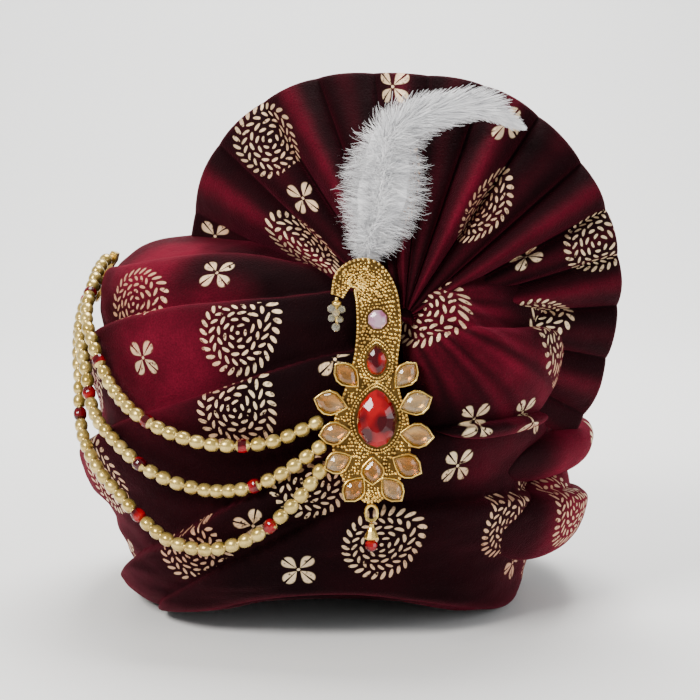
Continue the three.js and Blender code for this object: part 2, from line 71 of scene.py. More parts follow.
soft_light("key_light", place=(-0.85, -0.95, 1.05), size=0.5, energy=30, colour=(1.0, 0.97, 0.93))
soft_light("fill_light", place=(1.2, -0.8, 0.5), size=0.8, energy=8, colour=(0.95, 0.97, 1.0))
soft_light("top_light", place=(0.1, 0.45, 1.25), size=0.7, energy=22, colour=(1.0, 0.98, 0.96))
soft_light(
    "backdrop_light", place=(0, 0.9, 1.5), size=1.2, energy=40, colour=(1, 1, 1), target=(0, 2.1, 0.5)
)

world = bpy.data.worlds.new("studio")
world.use_nodes = True
sky = world.node_tree.nodes["Background"]
sky.inputs["Color"].default_value = (1, 1, 1, 1)
sky.inputs["Strength"].default_value = 0.42
bpy.context.scene.world = world

FLOOR_REACH = 3.0
FLOOR_WIDENING = 5
SWEEP_START = 1.0
SWEEP_RADIUS = 1.2
floor_mesh = bpy.data.meshes.new("floor")
shape = bmesh.new()
bmesh.ops.create_grid(shape, x_segments=2, y_segments=60, size=FLOOR_REACH)
for vertex in shape.verts:
    vertex.co.x *= FLOOR_WIDENING
    beyond = vertex.co.y - SWEEP_START
    if beyond > 0:
        angle = min(beyond / SWEEP_RADIUS, math.pi / 2)
        rise = beyond - SWEEP_RADIUS * angle
        vertex.co.y = SWEEP_START + SWEEP_RADIUS * math.sin(angle)
        vertex.co.z = SWEEP_RADIUS * (1 - math.cos(angle)) + rise
for face in shape.faces:
    face.smooth = True
shape.to_mesh(floor_mesh)
shape.free()
floor = bpy.data.objects.new("floor", floor_mesh)
bpy.context.scene.collection.objects.link(floor)
floor_paint = bpy.data.materials.new("pale floor")
floor_paint.use_nodes = True
paint = floor_paint.node_tree.nodes["Principled BSDF"]
paint.inputs["Base Color"].default_value = (0.93, 0.93, 0.92, 1)
paint.inputs["Roughness"].default_value = 0.6
floor_mesh.materials.append(floor_paint)


# The crown: one long velvet cloth wound round the head over a cap and sewn, so that each turn's rounded
# upper edge stands proud of the turn above it. Padded and closed, with an oval hollow for the head.
CENTRING = np.array([3.2, -1.6, 0.0])
HEAD_AXIS = (-9, 4)
ROUNDNESS = 2.2
LEVELLING = 4
HOLLOW = {"half_width": 78, "half_depth": 97, "wall_top": 88, "ceiling": 150, "flat_share": 0.28}
RIM_ARCH = {"lift": 24, "half_angle": 74, "fade_share": 0.3}
CROWN_SECTIONS = [
    {"z": 0, "left": 92, "right": 98, "front": 104, "back": 107},
    {"z": 14, "left": 102, "right": 102, "front": 107, "back": 112},
    {"z": 38, "left": 113, "right": 105, "front": 110, "back": 117},
    {"z": 68, "left": 123, "right": 105, "front": 113, "back": 120},
    {"z": 100, "left": 123, "right": 104, "front": 113, "back": 120},
    {"z": 130, "left": 121, "right": 101, "front": 108, "back": 116},
    {"z": 156, "left": 119, "right": 95, "front": 97, "back": 107},
    {"z": 176, "left": 111, "right": 82, "front": 78, "back": 90},
    {"z": 187, "left": 92, "right": 60, "front": 50, "back": 62},
    {"z": 191, "left": 52, "right": 32, "front": 24, "back": 32},
]
# The height of each layer's upper edge at eight even places round the head, from the front by way of the
# left, then how far it stands out and its reach down.
LAYERS = [
    {"edge": (180, 184, 172, 158, 166, 178, 186, 184), "proud": 5, "reach": 34},
    {"edge": (168, 160, 137, 122, 134, 152, 166, 172), "proud": 9, "reach": 44},
    {"edge": (142, 112, 78, 72, 98, 118, 138, 146), "proud": 10, "reach": 42},
    {"edge": (97, 46, 14, 24, 58, 80, 94, 108), "proud": 10, "reach": 42},
    {"edge": (68, 20, -20, -10, 22, 42, 56, 68), "proud": 8, "reach": 36},
]
LAYER_LIP = 5.0
DRAG_FOLDS = [{"around": 2.1, "height": 13, "depth": 1}, {"around": 5.3, "height": 6, "depth": 0.45}]
A_LITTLE_UP = 0.01


def in_frame(places):
    """Millimetres from below the knot, in metres in the part's frame."""
    return (np.asarray(places, float) + CENTRING) / 1000


def smooth_step(a, b, c, d, t):
    """The smooth curve from b to c, with a and d before and after them."""
    leave, arrive, drop = (c - a) / 2, (d - b) / 2, b - c
    return b + t * (leave + t * (-3 * drop - 2 * leave - arrive + t * (2 * drop + leave + arrive)))


def along(rows, column, share):
    """A column of a table on a smooth curve through all its rows, for a share of the way down them."""
    values = np.array([row[column] for row in rows], float)
    padded = np.concatenate([values[:1], values, values[-1:]])
    place = np.clip(np.asarray(share, float), 0, 1) * (len(values) - 1)
    first = np.minimum(place.astype(int), len(values) - 2)
    return smooth_step(*(padded[first + k] for k in range(4)), place - first)


def arch_at(turn):
    """How far the front rim rises, by the turn in degrees from the front."""
    aside = np.abs((turn + 180) % 360 - 180)
    lift = RIM_ARCH["lift"] * np.cos(np.pi / 2 * aside / RIM_ARCH["half_angle"]) ** 2
    return np.where(aside < RIM_ARCH["half_angle"], lift, 0)


def crown_outline(turn, share):
    """Points of the crown's plain outline."""
    across, away = -np.sin(np.radians(turn)), -np.cos(np.radians(turn))
    sides = ("left", "right", "front", "back")
    left, right, front, back = (along(CROWN_SECTIONS, side, share) for side in sides)
    sideways = np.abs(across) / np.where(across < 0, left, right)
    endways = np.abs(away) / np.where(away < 0, front, back)
    out = (sideways**ROUNDNESS + endways**ROUNDNESS) ** (-1 / ROUNDNESS)
    lift = arch_at(turn) * np.maximum(0, 1 - share / RIM_ARCH["fade_share"]) ** 2
    z = along(CROWN_SECTIONS, "z", share) + lift
    return np.stack([HEAD_AXIS[0] + across * out, HEAD_AXIS[1] + away * out, z], -1)


def unit(ways):
    """The same ways with a length of 1."""
    return ways / np.linalg.norm(ways, axis=-1, keepdims=True)


def crown_normal(turn, share):
    """The way out of the outline, turned level towards the rim."""
    above, below = np.minimum(share + A_LITTLE_UP, 1), np.maximum(share - A_LITTLE_UP, 0)
    upward = crown_outline(turn, above) - crown_outline(turn, below)
    leftward = crown_outline(turn + 1, share) - crown_outline(turn - 1, share)
    out = unit(-np.cross(leftward, upward))
    out[..., 2] *= np.minimum(1, share * LEVELLING)
    return unit(out)


def layer_edge(layer, turn):
    """The height of a layer's upper edge."""
    heights = np.array(layer["edge"], float)
    place = (turn % 360) / 360 * len(heights)
    first = np.floor(place).astype(int)
    return smooth_step(*(heights[(first + k) % len(heights)] for k in (-1, 0, 1, 2)), place - first)


def layer_relief(turn, z):
    """How far the layers stand out of the plain outline."""
    relief = np.zeros(np.broadcast(turn, z).shape)
    for layer in LAYERS:
        below = layer_edge(layer, turn) - z
        shoulder = np.sqrt(np.clip(1 - (1 - np.clip(below / LAYER_LIP, 0, 1)) ** 2, 0, 1))
        fading = np.clip((below - LAYER_LIP) / (layer["reach"] - LAYER_LIP), 0, 1)
        relief = np.maximum(relief, layer["proud"] * shoulder * (0.5 + 0.5 * np.cos(np.pi * fading)))
    return relief


def layer_number(turn, z):
    """Which layer the cloth belongs to, counted down from the top."""
    return sum((layer_edge(layer, turn) > z).astype(int) for layer in LAYERS)


def share_at(z):
    """The share of the way up the crown that has a height."""
    shares = np.linspace(0, 1, 2001)
    return np.interp(z, along(CROWN_SECTIONS, "z", shares), shares)


def drag_folds(turn, z, strength):
    """Shallow drag folds in the cloth, drawn out along the winding."""
    angle = np.radians(turn)
    spots = np.stack(np.broadcast_arrays(np.cos(angle), np.sin(angle), z), -1)
    total = np.zeros(spots.shape[:-1])
    for fold in DRAG_FOLDS:
        scaled = spots * [fold["around"], fold["around"], 1] / [1, 1, fold["height"]]
        swells = [noise.noise(Vector(spot)) for spot in scaled.reshape(-1, 3).tolist()]
        total += fold["depth"] * np.array(swells).reshape(total.shape)
    return strength * total


def on_crown(turn, share, off=0.0):
    """Points of the wound cloth, stood off it by a distance."""
    at = crown_outline(turn, share)
    out = layer_relief(turn, at[..., 2]) + off
    return at + crown_normal(turn, share) * out[..., None]


def add_skin(shape, columns, rows, carry):
    """Adds a grid carried onto a surface, which gives points in metres for the shares across and along."""
    made = bmesh.ops.create_grid(shape, x_segments=columns, y_segments=rows, size=0.5)["verts"]
    spots = np.array([vertex.co[:2] for vertex in made]) + 0.5
    for vertex, place in zip(made, carry(spots[:, 0], spots[:, 1])):
        vertex.co = place
    bmesh.ops.remove_doubles(shape, verts=made, dist=1e-6)
    kept = [vertex for vertex in made if vertex.is_valid]
    rims = [edge for edge in {edge for vertex in kept for edge in vertex.link_edges} if edge.is_boundary]
    if rims:
        bmesh.ops.holes_fill(shape, edges=rims)


def piece_of(name, shape):
    """The object of a finished shape, smooth and with its faces out."""
    bmesh.ops.recalc_face_normals(shape, faces=shape.faces)
    for face in shape.faces:
        face.smooth = True
    mesh = bpy.data.meshes.new(name)
    shape.to_mesh(mesh)
    shape.free()
    piece = bpy.data.objects.new(name, mesh)
    bpy.context.scene.collection.objects.link(piece)
    return piece


def carried_grid(name, columns, rows, carry):
    """One skin as an object of its own, from a surface in millimetres below the knot."""
    shape = bmesh.new()
    add_skin(shape, columns, rows, lambda column, row: in_frame(carry(column, row)))
    return piece_of(name, shape)


CROWN_ROWS = {"cap": 14, "outside": 176, "rim": 6, "wall": 18, "dome": 16}
CROWN_COLUMNS = 380
TOP_RISE = 3.0
TOP_DOMING = 0.6
RIM_ROUNDING = 5.0
CROWN_DRAG = {"depth": 1.5, "from_rim": 8, "from_top": 6}


def rim_inset(above):
    """How far the rim's rounded edge draws in, by the height above it."""
    part = 1 - np.clip(above / RIM_ROUNDING, 0, 1)
    return RIM_ROUNDING * (1 - np.sqrt(1 - part**2))


def crown_surface(column, row):
    """The crown from the middle of its top, down the outside, round the rim and up into the hollow."""
    turn = column * 360
    stops = np.cumsum([0] + list(CROWN_ROWS.values())) / sum(CROWN_ROWS.values())
    cap, outside, rim, wall, dome = (
        np.clip((row - stops[k]) / (stops[k + 1] - stops[k]), 0, 1) for k in range(len(CROWN_ROWS))
    )
    share = 1 - outside
    skin = on_crown(turn, share)
    height = crown_outline(turn, share)[:, 2]
    folds = drag_folds(turn, height, CROWN_DRAG["depth"]) * np.clip(share * CROWN_DRAG["from_rim"], 0, 1)
    folds = folds * np.clip(outside * CROWN_DRAG["from_top"], 0, 1)
    skin = skin + crown_normal(turn, share) * folds[:, None]
    base = arch_at(turn)
    across, away = -np.sin(np.radians(turn)), -np.cos(np.radians(turn))
    level_way = np.stack([across, away, np.zeros_like(across)], -1)
    skin = skin - level_way * rim_inset(height - base)[:, None]
    top = np.array([HEAD_AXIS[0], HEAD_AXIS[1], CROWN_SECTIONS[-1]["z"] + TOP_RISE])
    skin = np.where(row[:, None] < stops[1], top + (skin - top) * cap[:, None], skin)
    skin[:, 2] += np.where(row < stops[1], TOP_RISE * (cap - cap**2) * TOP_DOMING, 0)
    size = 1 - (1 - HOLLOW["flat_share"]) * dome
    inset = rim_inset((HOLLOW["wall_top"] - base) * wall)
    mouth_x = HEAD_AXIS[0] + across * (HOLLOW["half_width"] * size + inset)
    mouth_y = HEAD_AXIS[1] + away * (HOLLOW["half_depth"] * size + inset)
    rise = HOLLOW["ceiling"] - HOLLOW["wall_top"]
    mouth_z = base + (HOLLOW["wall_top"] - base) * wall + rise * np.sqrt(np.clip(1 - (1 - dome) ** 2, 0, 1))
    mouth = np.stack([mouth_x, mouth_y, mouth_z], -1)
    return np.where(row[:, None] > stops[2], skin + (mouth - skin) * rim[:, None], skin)


crown = carried_grid("velvet_crown", CROWN_COLUMNS, sum(CROWN_ROWS.values()), crown_surface)

# The block print on the crown: turn and height of each motif seen from the front, big roundels and small
# flowers, and the bearing of the roundel's tip. Round the back the same print goes on in even rows.
CROWN_MOTIFS = [
    {"turn": 59, "z": 160, "kind": "roundel", "tip": 20},
    {"turn": 24, "z": 149, "kind": "roundel", "tip": 40},
    {"turn": 22, "z": 115.5, "kind": "roundel", "tip": 60},
    {"turn": 33, "z": 46, "kind": "roundel", "tip": 100},
    {"turn": 64, "z": 72, "kind": "roundel", "tip": 80},
    {"turn": 37, "z": 174, "kind": "flower", "tip": 0},
    {"turn": 49, "z": 136, "kind": "flower", "tip": 10},
    {"turn": -1, "z": 138, "kind": "flower", "tip": 0},
    {"turn": 18, "z": 62, "kind": "flower", "tip": 30},
    {"turn": -30, "z": 88, "kind": "flower", "tip": 0},
    {"turn": -12, "z": 52, "kind": "roundel", "tip": 30},
    {"turn": -48, "z": 55, "kind": "roundel", "tip": 60},
    {"turn": 5, "z": 84, "kind": "roundel", "tip": 60},
    {"turn": 66, "z": 30, "kind": "flower", "tip": 20},
    {"turn": 8, "z": 38, "kind": "flower", "tip": 0},
    {"turn": 80, "z": 118, "kind": "roundel", "tip": 30},
]
BACK_PRINT = {"rows": (28, 66, 104, 142), "from": 104, "to": 318, "pitch": 22, "count": 10, "tip_step": 37}
UPPER_PRINT = {"z": 177, "from": 110, "pitch": 26, "count": 9, "tip_step": 50}
TOP_MOTIFS = [
    {"x": -52, "y": 18, "kind": "roundel"},
    {"x": -4, "y": 22, "kind": "flower"},
    {"x": 30, "y": 8, "kind": "roundel"},
    {"x": -20, "y": 66, "kind": "roundel"},
]
SPACE_BETWEEN = {"roundel": 0.040, "flower": 0.030}
# In the print's map a flower lies a metre to the side of a roundel, and cloth that is out of every motif's
# reach lies 0.2 m above. A motif of another layer counts as 10 m further away, so it is never the nearest.
MOTIF_REACH = 0.0312
FLOWER_SHIFT = 1.0
BLANK_SHIFT = 0.2
OTHER_LAYER = 10
CEILING_MARGIN = 2


def print_frame(point_at, turn, height, tip, step=0.5):
    """The middle and the two tangents of a motif, from a surface of two values."""
    middle = point_at(turn, height)
    right = unit(point_at(turn - step, height) - point_at(turn + step, height))
    up = point_at(turn, height + step) - point_at(turn, height - step)
    up = unit(up - right * np.dot(up, right))
    angle = math.radians(tip)
    across = math.cos(angle) * right + math.sin(angle) * up
    return middle, across, np.cross(np.cross(right, up), across)


def lay_print(piece, motifs, layer_of=None, places=None):
    """Gives every face the print's place about the nearest motif of its own layer, in metres. The places
    are the piece's points, or where they lay on the flat cloth."""
    mesh = piece.data
    count = len(mesh.polygons)
    starts, sizes = np.empty(count, int), np.empty(count, int)
    mesh.polygons.foreach_get("loop_start", starts)
    mesh.polygons.foreach_get("loop_total", sizes)
    owner = np.repeat(np.arange(count), sizes)
    corner = np.empty(len(mesh.loops), int)
    mesh.loops.foreach_get("vertex_index", corner)
    if places is None:
        places = np.empty(len(mesh.vertices) * 3)
        mesh.vertices.foreach_get("co", places)
        places = places.reshape(-1, 3)
    centres = np.add.reduceat(places[corner], starts) / sizes[:, None]
    middles = np.array([motif["middle"] for motif in motifs])
    apart = np.linalg.norm(centres[:, None] - middles[None], axis=-1)
    if layer_of is not None:
        numbers = np.array([motif["layer"] for motif in motifs])
        apart = np.where(layer_of(centres)[:, None] == numbers[None], apart, apart + OTHER_LAYER)
    nearest = np.argmin(apart, axis=1)
    blank = np.min(apart, axis=1) > MOTIF_REACH
    away = places[corner] - middles[nearest[owner]]
    across = np.array([motif["across"] for motif in motifs])[nearest[owner]]
    up = np.array([motif["up"] for motif in motifs])[nearest[owner]]
    shift = np.array([FLOWER_SHIFT * (motif["kind"] == "flower") for motif in motifs])[nearest[owner]]
    u = (away * across).sum(1) + shift
    v = (away * up).sum(1) + blank[owner] * BLANK_SHIFT
    layer = mesh.uv_layers.new(name="print")
    layer.data.foreach_set("uv", np.stack([u, v], -1).ravel())


def plain_point(turn, height):
    """A point of the plain outline at a height, in metres."""
    return in_frame(crown_outline(np.array([turn], float), share_at(np.array([height], float))))[0]


def crown_motif(turn, z, kind, tip):
    """A motif on the crown, laid level with the plain outline under the layers."""
    across, up = print_frame(plain_point, turn, z, tip)[1:]
    middle = in_frame(on_crown(np.array([turn], float), share_at(np.array([z], float))))[0]
    number = int(layer_number(np.array([turn], float), np.array([z], float))[0])
    return {"middle": middle, "across": across, "up": up, "kind": kind, "layer": number}


def kind_in_row(step):
    """Roundels and flowers take turns along a row."""
    return "flower" if step % 2 else "roundel"


crown_print = [crown_motif(**motif) for motif in CROWN_MOTIFS]
hidden_print = []
for row, height in enumerate(BACK_PRINT["rows"]):
    for step in range(BACK_PRINT["count"]):
        turn = BACK_PRINT["from"] + BACK_PRINT["pitch"] * (step + row % 2 / 2)
        if turn < BACK_PRINT["to"]:
            hidden_print.append(crown_motif(turn, height, kind_in_row(step), BACK_PRINT["tip_step"] * step))
for step in range(UPPER_PRINT["count"]):
    turn = UPPER_PRINT["from"] + UPPER_PRINT["pitch"] * step
    tip = UPPER_PRINT["tip_step"] * step
    hidden_print.append(crown_motif(turn, UPPER_PRINT["z"], kind_in_row(step), tip))
for motif in TOP_MOTIFS:
    at = [HEAD_AXIS[0] + motif["x"], HEAD_AXIS[1] + motif["y"], CROWN_SECTIONS[-1]["z"] + TOP_RISE]
    level_ways = {"across": np.array([1.0, 0, 0]), "up": np.array([0, 1.0, 0])}
    hidden_print.append({"middle": in_frame(at), "kind": motif["kind"], "layer": 0, **level_ways})
for motif in hidden_print:
    room = SPACE_BETWEEN[motif["kind"]]
    if all(np.linalg.norm(motif["middle"] - other["middle"]) > room for other in crown_print):
        crown_print.append(motif)


def crown_layer_of(centres):
    """The layer of places on the crown, with the hollow's inside as a layer of its own."""
    x, y, z = (centres * 1000 - CENTRING - [HEAD_AXIS[0], HEAD_AXIS[1], 0]).T
    half_width, half_depth = HOLLOW["half_width"] + RIM_ROUNDING, HOLLOW["half_depth"] + RIM_ROUNDING
    in_the_oval = np.hypot(x / half_width, y / half_depth) < 1
    number = layer_number(np.degrees(np.arctan2(-x, -y)), z)
    return np.where(in_the_oval & (z < HOLLOW["ceiling"] + CEILING_MARGIN), -1, number)


lay_print(crown, crown_print, crown_layer_of)


def math_step(tree, operation, *values):
    """A maths node, from sockets and plain numbers."""
    node = tree.nodes.new("ShaderNodeMath")
    node.operation = operation
    for socket, value in zip(node.inputs, values):
        if isinstance(value, bpy.types.NodeSocket):
            tree.links.new(value, socket)
        else:
            socket.default_value = value
    return node.outputs[0]


def start_group(name, inputs, outputs):
    """A shader node group with named number or vector inputs and outputs."""
    tree = bpy.data.node_groups.new(name, "ShaderNodeTree")
    for title, kind, value in inputs:
        socket = tree.interface.new_socket(name=title, in_out="INPUT", socket_type=kind)
        if value is not None:
            socket.default_value = value
    for title, kind in outputs:
        tree.interface.new_socket(name=title, in_out="OUTPUT", socket_type=kind)
    return tree, tree.nodes.new("NodeGroupInput"), tree.nodes.new("NodeGroupOutput")


def use_group(tree, group, **values):
    """Places a group in a tree and sets or links its inputs by name, with spaces as underscores."""
    node = tree.nodes.new("ShaderNodeGroup")
    node.node_tree = group
    for title, value in values.items():
        socket = node.inputs[title.replace("_", " ")]
        if isinstance(value, bpy.types.NodeSocket):
            tree.links.new(value, socket)
        else:
            socket.default_value = value
    return node


NUMBER = "NodeSocketFloat"
stroke_ring, given, result = start_group(
    "ring of printed strokes",
    [(title, NUMBER, value) for title, value in (
        ("Radius", 0.0), ("Bearing", 0.0), ("Middle", 10.0), ("Half Length", 2.0),
        ("Half Width", 1.0), ("Count", 12.0), ("Slant", 0.0))],
    [("Mask", NUMBER), ("Aside", NUMBER)],
)
inward = math_step(stroke_ring, "SUBTRACT", given.outputs["Radius"], given.outputs["Middle"])
lean = math_step(stroke_ring, "DIVIDE", inward, given.outputs["Half Length"])
lean = math_step(stroke_ring, "MULTIPLY", lean, given.outputs["Slant"])
turned_by = math_step(stroke_ring, "MULTIPLY_ADD", given.outputs["Bearing"], given.outputs["Count"], lean)
within = math_step(stroke_ring, "SUBTRACT", math_step(stroke_ring, "FRACT", turned_by), 0.5)
spacing = math_step(stroke_ring, "DIVIDE", given.outputs["Middle"], given.outputs["Count"])
aside = math_step(stroke_ring, "MULTIPLY", within, math_step(stroke_ring, "MULTIPLY", spacing, 2 * math.pi))
wide = math_step(stroke_ring, "DIVIDE", aside, given.outputs["Half Width"])
wide = math_step(stroke_ring, "POWER", wide, 2)
long = math_step(stroke_ring, "DIVIDE", inward, given.outputs["Half Length"])
long = math_step(stroke_ring, "POWER", long, 2)
edge = stroke_ring.nodes.new("ShaderNodeMapRange")
edge.interpolation_type = "SMOOTHSTEP"
edge.inputs["From Min"].default_value = 1.25
edge.inputs["From Max"].default_value = 0.75
stroke_ring.links.new(math_step(stroke_ring, "ADD", wide, long), edge.inputs["Value"])
stroke_ring.links.new(edge.outputs["Result"], result.inputs["Mask"])
stroke_ring.links.new(math_step(stroke_ring, "ABSOLUTE", aside), result.inputs["Aside"])

# The roundel's rings of strokes, from the outside in, and the flower's one ring of petals, in millimetres.
ROUNDEL_RINGS = [
    {"Middle": 17.4, "Half_Length": 1.9, "Half_Width": 1.05, "Count": 27, "Slant": 0.26},
    {"Middle": 13.2, "Half_Length": 1.35, "Half_Width": 1.0, "Count": 20, "Slant": -0.28},
    {"Middle": 9.7, "Half_Length": 0.85, "Half_Width": 1.75, "Count": 12, "Slant": 0.16},
    {"Middle": 6.6, "Half_Length": 0.8, "Half_Width": 1.55, "Count": 8, "Slant": -0.14},
    {"Middle": 3.6, "Half_Length": 0.75, "Half_Width": 1.3, "Count": 5, "Slant": 0.14},
]
FLOWER_RING = {"Middle": 5.4, "Half_Length": 4.1, "Half_Width": 2.6, "Count": 4, "Slant": 0.0}
TIP_STRETCH = 0.24
TIP_SHARPNESS = 7
ROUNDEL_DOT = 0.9
FLOWER_DOT = 0.8
PETAL_SLIT = 0.34
block_print, given, result = start_group(
    "block print", [("Place", "NodeSocketVector", None)], [("Foil", NUMBER)]
)
apart = block_print.nodes.new("ShaderNodeSeparateXYZ")
block_print.links.new(given.outputs["Place"], apart.inputs[0])
is_flower = math_step(block_print, "GREATER_THAN", apart.outputs["X"], FLOWER_SHIFT / 2)
shifted = math_step(block_print, "MULTIPLY", is_flower, FLOWER_SHIFT)
across = math_step(block_print, "SUBTRACT", apart.outputs["X"], shifted)
across = math_step(block_print, "MULTIPLY", across, 1000)
up = math_step(block_print, "MULTIPLY", apart.outputs["Y"], 1000)
far = math_step(block_print, "MULTIPLY_ADD", across, across, math_step(block_print, "MULTIPLY", up, up))
radius = math_step(block_print, "SQRT", far)
bearing = math_step(block_print, "DIVIDE", math_step(block_print, "ARCTAN2", up, across), 2 * math.pi)
towards_tip = math_step(block_print, "DIVIDE", across, math_step(block_print, "ADD", radius, 0.01))
peak = math_step(block_print, "MAXIMUM", towards_tip, 0)
peak = math_step(block_print, "POWER", peak, TIP_SHARPNESS)
drawn_out = math_step(block_print, "MULTIPLY_ADD", peak, TIP_STRETCH, 1)
pulled = math_step(block_print, "DIVIDE", radius, drawn_out)
roundel = math_step(block_print, "LESS_THAN", radius, ROUNDEL_DOT)
for ring in ROUNDEL_RINGS:
    strokes = use_group(block_print, stroke_ring, Radius=pulled, Bearing=bearing, **ring)
    roundel = math_step(block_print, "MAXIMUM", roundel, strokes.outputs["Mask"])
petals = use_group(block_print, stroke_ring, Radius=radius, Bearing=bearing, **FLOWER_RING)
beside_slit = math_step(block_print, "GREATER_THAN", petals.outputs["Aside"], PETAL_SLIT)
flower = math_step(block_print, "MULTIPLY", petals.outputs["Mask"], beside_slit)
flower_dot = math_step(block_print, "LESS_THAN", radius, FLOWER_DOT)
flower = math_step(block_print, "MAXIMUM", flower, flower_dot)
flower = math_step(block_print, "MULTIPLY", flower, is_flower)
is_roundel = math_step(block_print, "SUBTRACT", 1, is_flower)
roundel = math_step(block_print, "MULTIPLY", roundel, is_roundel)
block_print.links.new(math_step(block_print, "ADD", flower, roundel), result.inputs["Foil"])

# Painted highlights on the crown: soft patches of velvet painted lighter where the light catches the pile,
# by the middle of each patch, its reach and its strength.
CROWN_PAINTED_LIGHT = [
    {"x": -82, "y": -70, "z": 134, "reach": 34, "strength": 0.9},
    {"x": -96, "y": -40, "z": 184, "reach": 26, "strength": 1.0},
    {"x": -60, "y": -80, "z": 165, "reach": 16, "strength": 0.4},
    {"x": 70, "y": -90, "z": 98, "reach": 24, "strength": 0.35},
    {"x": -118, "y": -30, "z": 80, "reach": 24, "strength": 0.6},
    {"x": 40, "y": 110, "z": 120, "reach": 40, "strength": 0.8},
    {"x": -70, "y": 90, "z": 60, "reach": 34, "strength": 0.6},
    {"x": -10, "y": 40, "z": 196, "reach": 40, "strength": 0.6},
]


def lay_painted_light(piece, values):
    """How much painted highlight each point's velvet gets, from 0 to 1."""
    attribute = piece.data.attributes.new("painted_light", "FLOAT", "POINT")
    attribute.data.foreach_set("value", np.clip(values, 0, 1).astype(np.float32))


def points_of(piece):
    """A piece's points in millimetres below the knot."""
    places = np.empty(len(piece.data.vertices) * 3)
    piece.data.vertices.foreach_get("co", places)
    return places.reshape(-1, 3) * 1000 - CENTRING


def patches_at(points, patches):
    """The sum of soft round patches at each point."""
    total = np.zeros(len(points))
    for patch in patches:
        apart = np.linalg.norm(points - [patch["x"], patch["y"], patch["z"]], axis=1)
        total += patch["strength"] * np.exp(-((apart / patch["reach"]) ** 4))
    return total


lay_painted_light(crown, patches_at(points_of(crown), CROWN_PAINTED_LIGHT))


def start_finish(name):
    """A new material with its tree, its main shader and the place on the object."""
    finish = bpy.data.materials.new(name)
    finish.use_nodes = True
    tree = finish.node_tree
    place = tree.nodes.new("ShaderNodeTexCoord").outputs["Object"]
    return finish, tree, tree.nodes["Principled BSDF"], place


def noise_of(tree, place, scale, detail, low, high):
    """Noise on the object, stretched so that low and high become 0 and 1."""
    grain = tree.nodes.new("ShaderNodeTexNoise")
    grain.inputs["Scale"].default_value = scale
    grain.inputs["Detail"].default_value = detail
    tree.links.new(place, grain.inputs["Vector"])
    spread = tree.nodes.new("ShaderNodeMapRange")
    spread.inputs["From Min"].default_value = low
    spread.inputs["From Max"].default_value = high
    tree.links.new(grain.outputs["Fac"], spread.inputs["Value"])
    return spread.outputs["Result"]


def blend_colours(tree, share, first, second):
    """A mix of two colours, each a socket or four numbers."""
    mix = tree.nodes.new("ShaderNodeMix")
    mix.data_type = "RGBA"
    tree.links.new(share, mix.inputs[0])
    for socket, value in ((mix.inputs[6], first), (mix.inputs[7], second)):
        if isinstance(value, bpy.types.NodeSocket):
            tree.links.new(value, socket)
        else:
            socket.default_value = value
    return mix.outputs[2]


# The velvet's own dark colour and the lighter colour of its painted sheen and highlights, then the foil's
# two tints.
VELVET_DEEP = (0.0045, 0.0004, 0.001, 1)
VELVET_LIT = (0.155, 0.0045, 0.019, 1)
FOIL_PALE = (0.80, 0.62, 0.38, 1)
FOIL_ROSE = (0.62, 0.33, 0.20, 1)
velvet, tree, cloth, place = start_finish("maroon velvet with gold print")
cloth.inputs["Sheen Weight"].default_value = 0.1
cloth.inputs["Sheen Roughness"].default_value = 0.3
cloth.inputs["Sheen Tint"].default_value = (0.9, 0.10, 0.22, 1)
cloth.inputs["Specular IOR Level"].default_value = 0.05
print_map = tree.nodes.new("ShaderNodeUVMap")
print_map.uv_map = "print"
foil = use_group(tree, block_print, Place=print_map.outputs["UV"]).outputs["Foil"]
worn = noise_of(tree, place, scale=420, detail=2, low=0.30, high=0.42)
foil = math_step(tree, "MULTIPLY", foil, worn)
sheen_and_foil_patches = noise_of(tree, place, scale=16, detail=3, low=0.36, high=0.66)
pile = noise_of(tree, place, scale=1100, detail=3, low=0.3, high=0.7)
crushed = noise_of(tree, place, scale=70, detail=4, low=0.3, high=0.7)
painted_light = tree.nodes.new("ShaderNodeAttribute")
painted_light.attribute_name = "painted_light"
# Painted sheen: the velvet's colour is painted lighter at grazing angles and in the painted highlight
# patches, a little unevenly.
grazing = tree.nodes.new("ShaderNodeLayerWeight")
shine = math_step(tree, "POWER", grazing.outputs["Facing"], 4)
shine = math_step(tree, "MULTIPLY", shine, 0.6)
lit = math_step(tree, "MULTIPLY_ADD", sheen_and_foil_patches, 0.05, shine)
patch_highlight = math_step(tree, "MULTIPLY_ADD", sheen_and_foil_patches, 0.45, 0.5)
patch_highlight = math_step(tree, "MULTIPLY", painted_light.outputs["Fac"], patch_highlight)
lit = math_step(tree, "ADD", lit, patch_highlight)
lit = math_step(tree, "MINIMUM", lit, 1)
# The painted sheen is broken up by the pile's fine grain and by crushed spots.
pile_sheen_grain = math_step(tree, "MULTIPLY_ADD", pile, 0.5, 0.7)
lit = math_step(tree, "MULTIPLY", lit, pile_sheen_grain)
crushed_sheen_spots = math_step(tree, "MULTIPLY_ADD", crushed, 0.4, 0.75)
lit = math_step(tree, "MULTIPLY", lit, crushed_sheen_spots)
velvet_with_painted_sheen = blend_colours(tree, lit, VELVET_DEEP, VELVET_LIT)
foil_colour = blend_colours(tree, sheen_and_foil_patches, FOIL_PALE, FOIL_ROSE)
tree.links.new(blend_colours(tree, foil, velvet_with_painted_sheen, foil_colour), cloth.inputs["Base Color"])
tree.links.new(math_step(tree, "MULTIPLY", foil, 0.55), cloth.inputs["Metallic"])
tree.links.new(math_step(tree, "MULTIPLY_ADD", foil, -0.42, 0.82), cloth.inputs["Roughness"])
relief = math_step(tree, "MULTIPLY_ADD", crushed, 1.6, pile)
relief = math_step(tree, "MULTIPLY_ADD", foil, -0.6, relief)
bump = tree.nodes.new("ShaderNodeBump")
bump.inputs["Strength"].default_value = 0.45
bump.inputs["Distance"].default_value = 0.0008
tree.links.new(relief, bump.inputs["Height"])
tree.links.new(bump.outputs["Normal"], cloth.inputs["Normal"])

crown.data.materials.append(velvet)
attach(crown, "root")
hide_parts("crown_wrap")


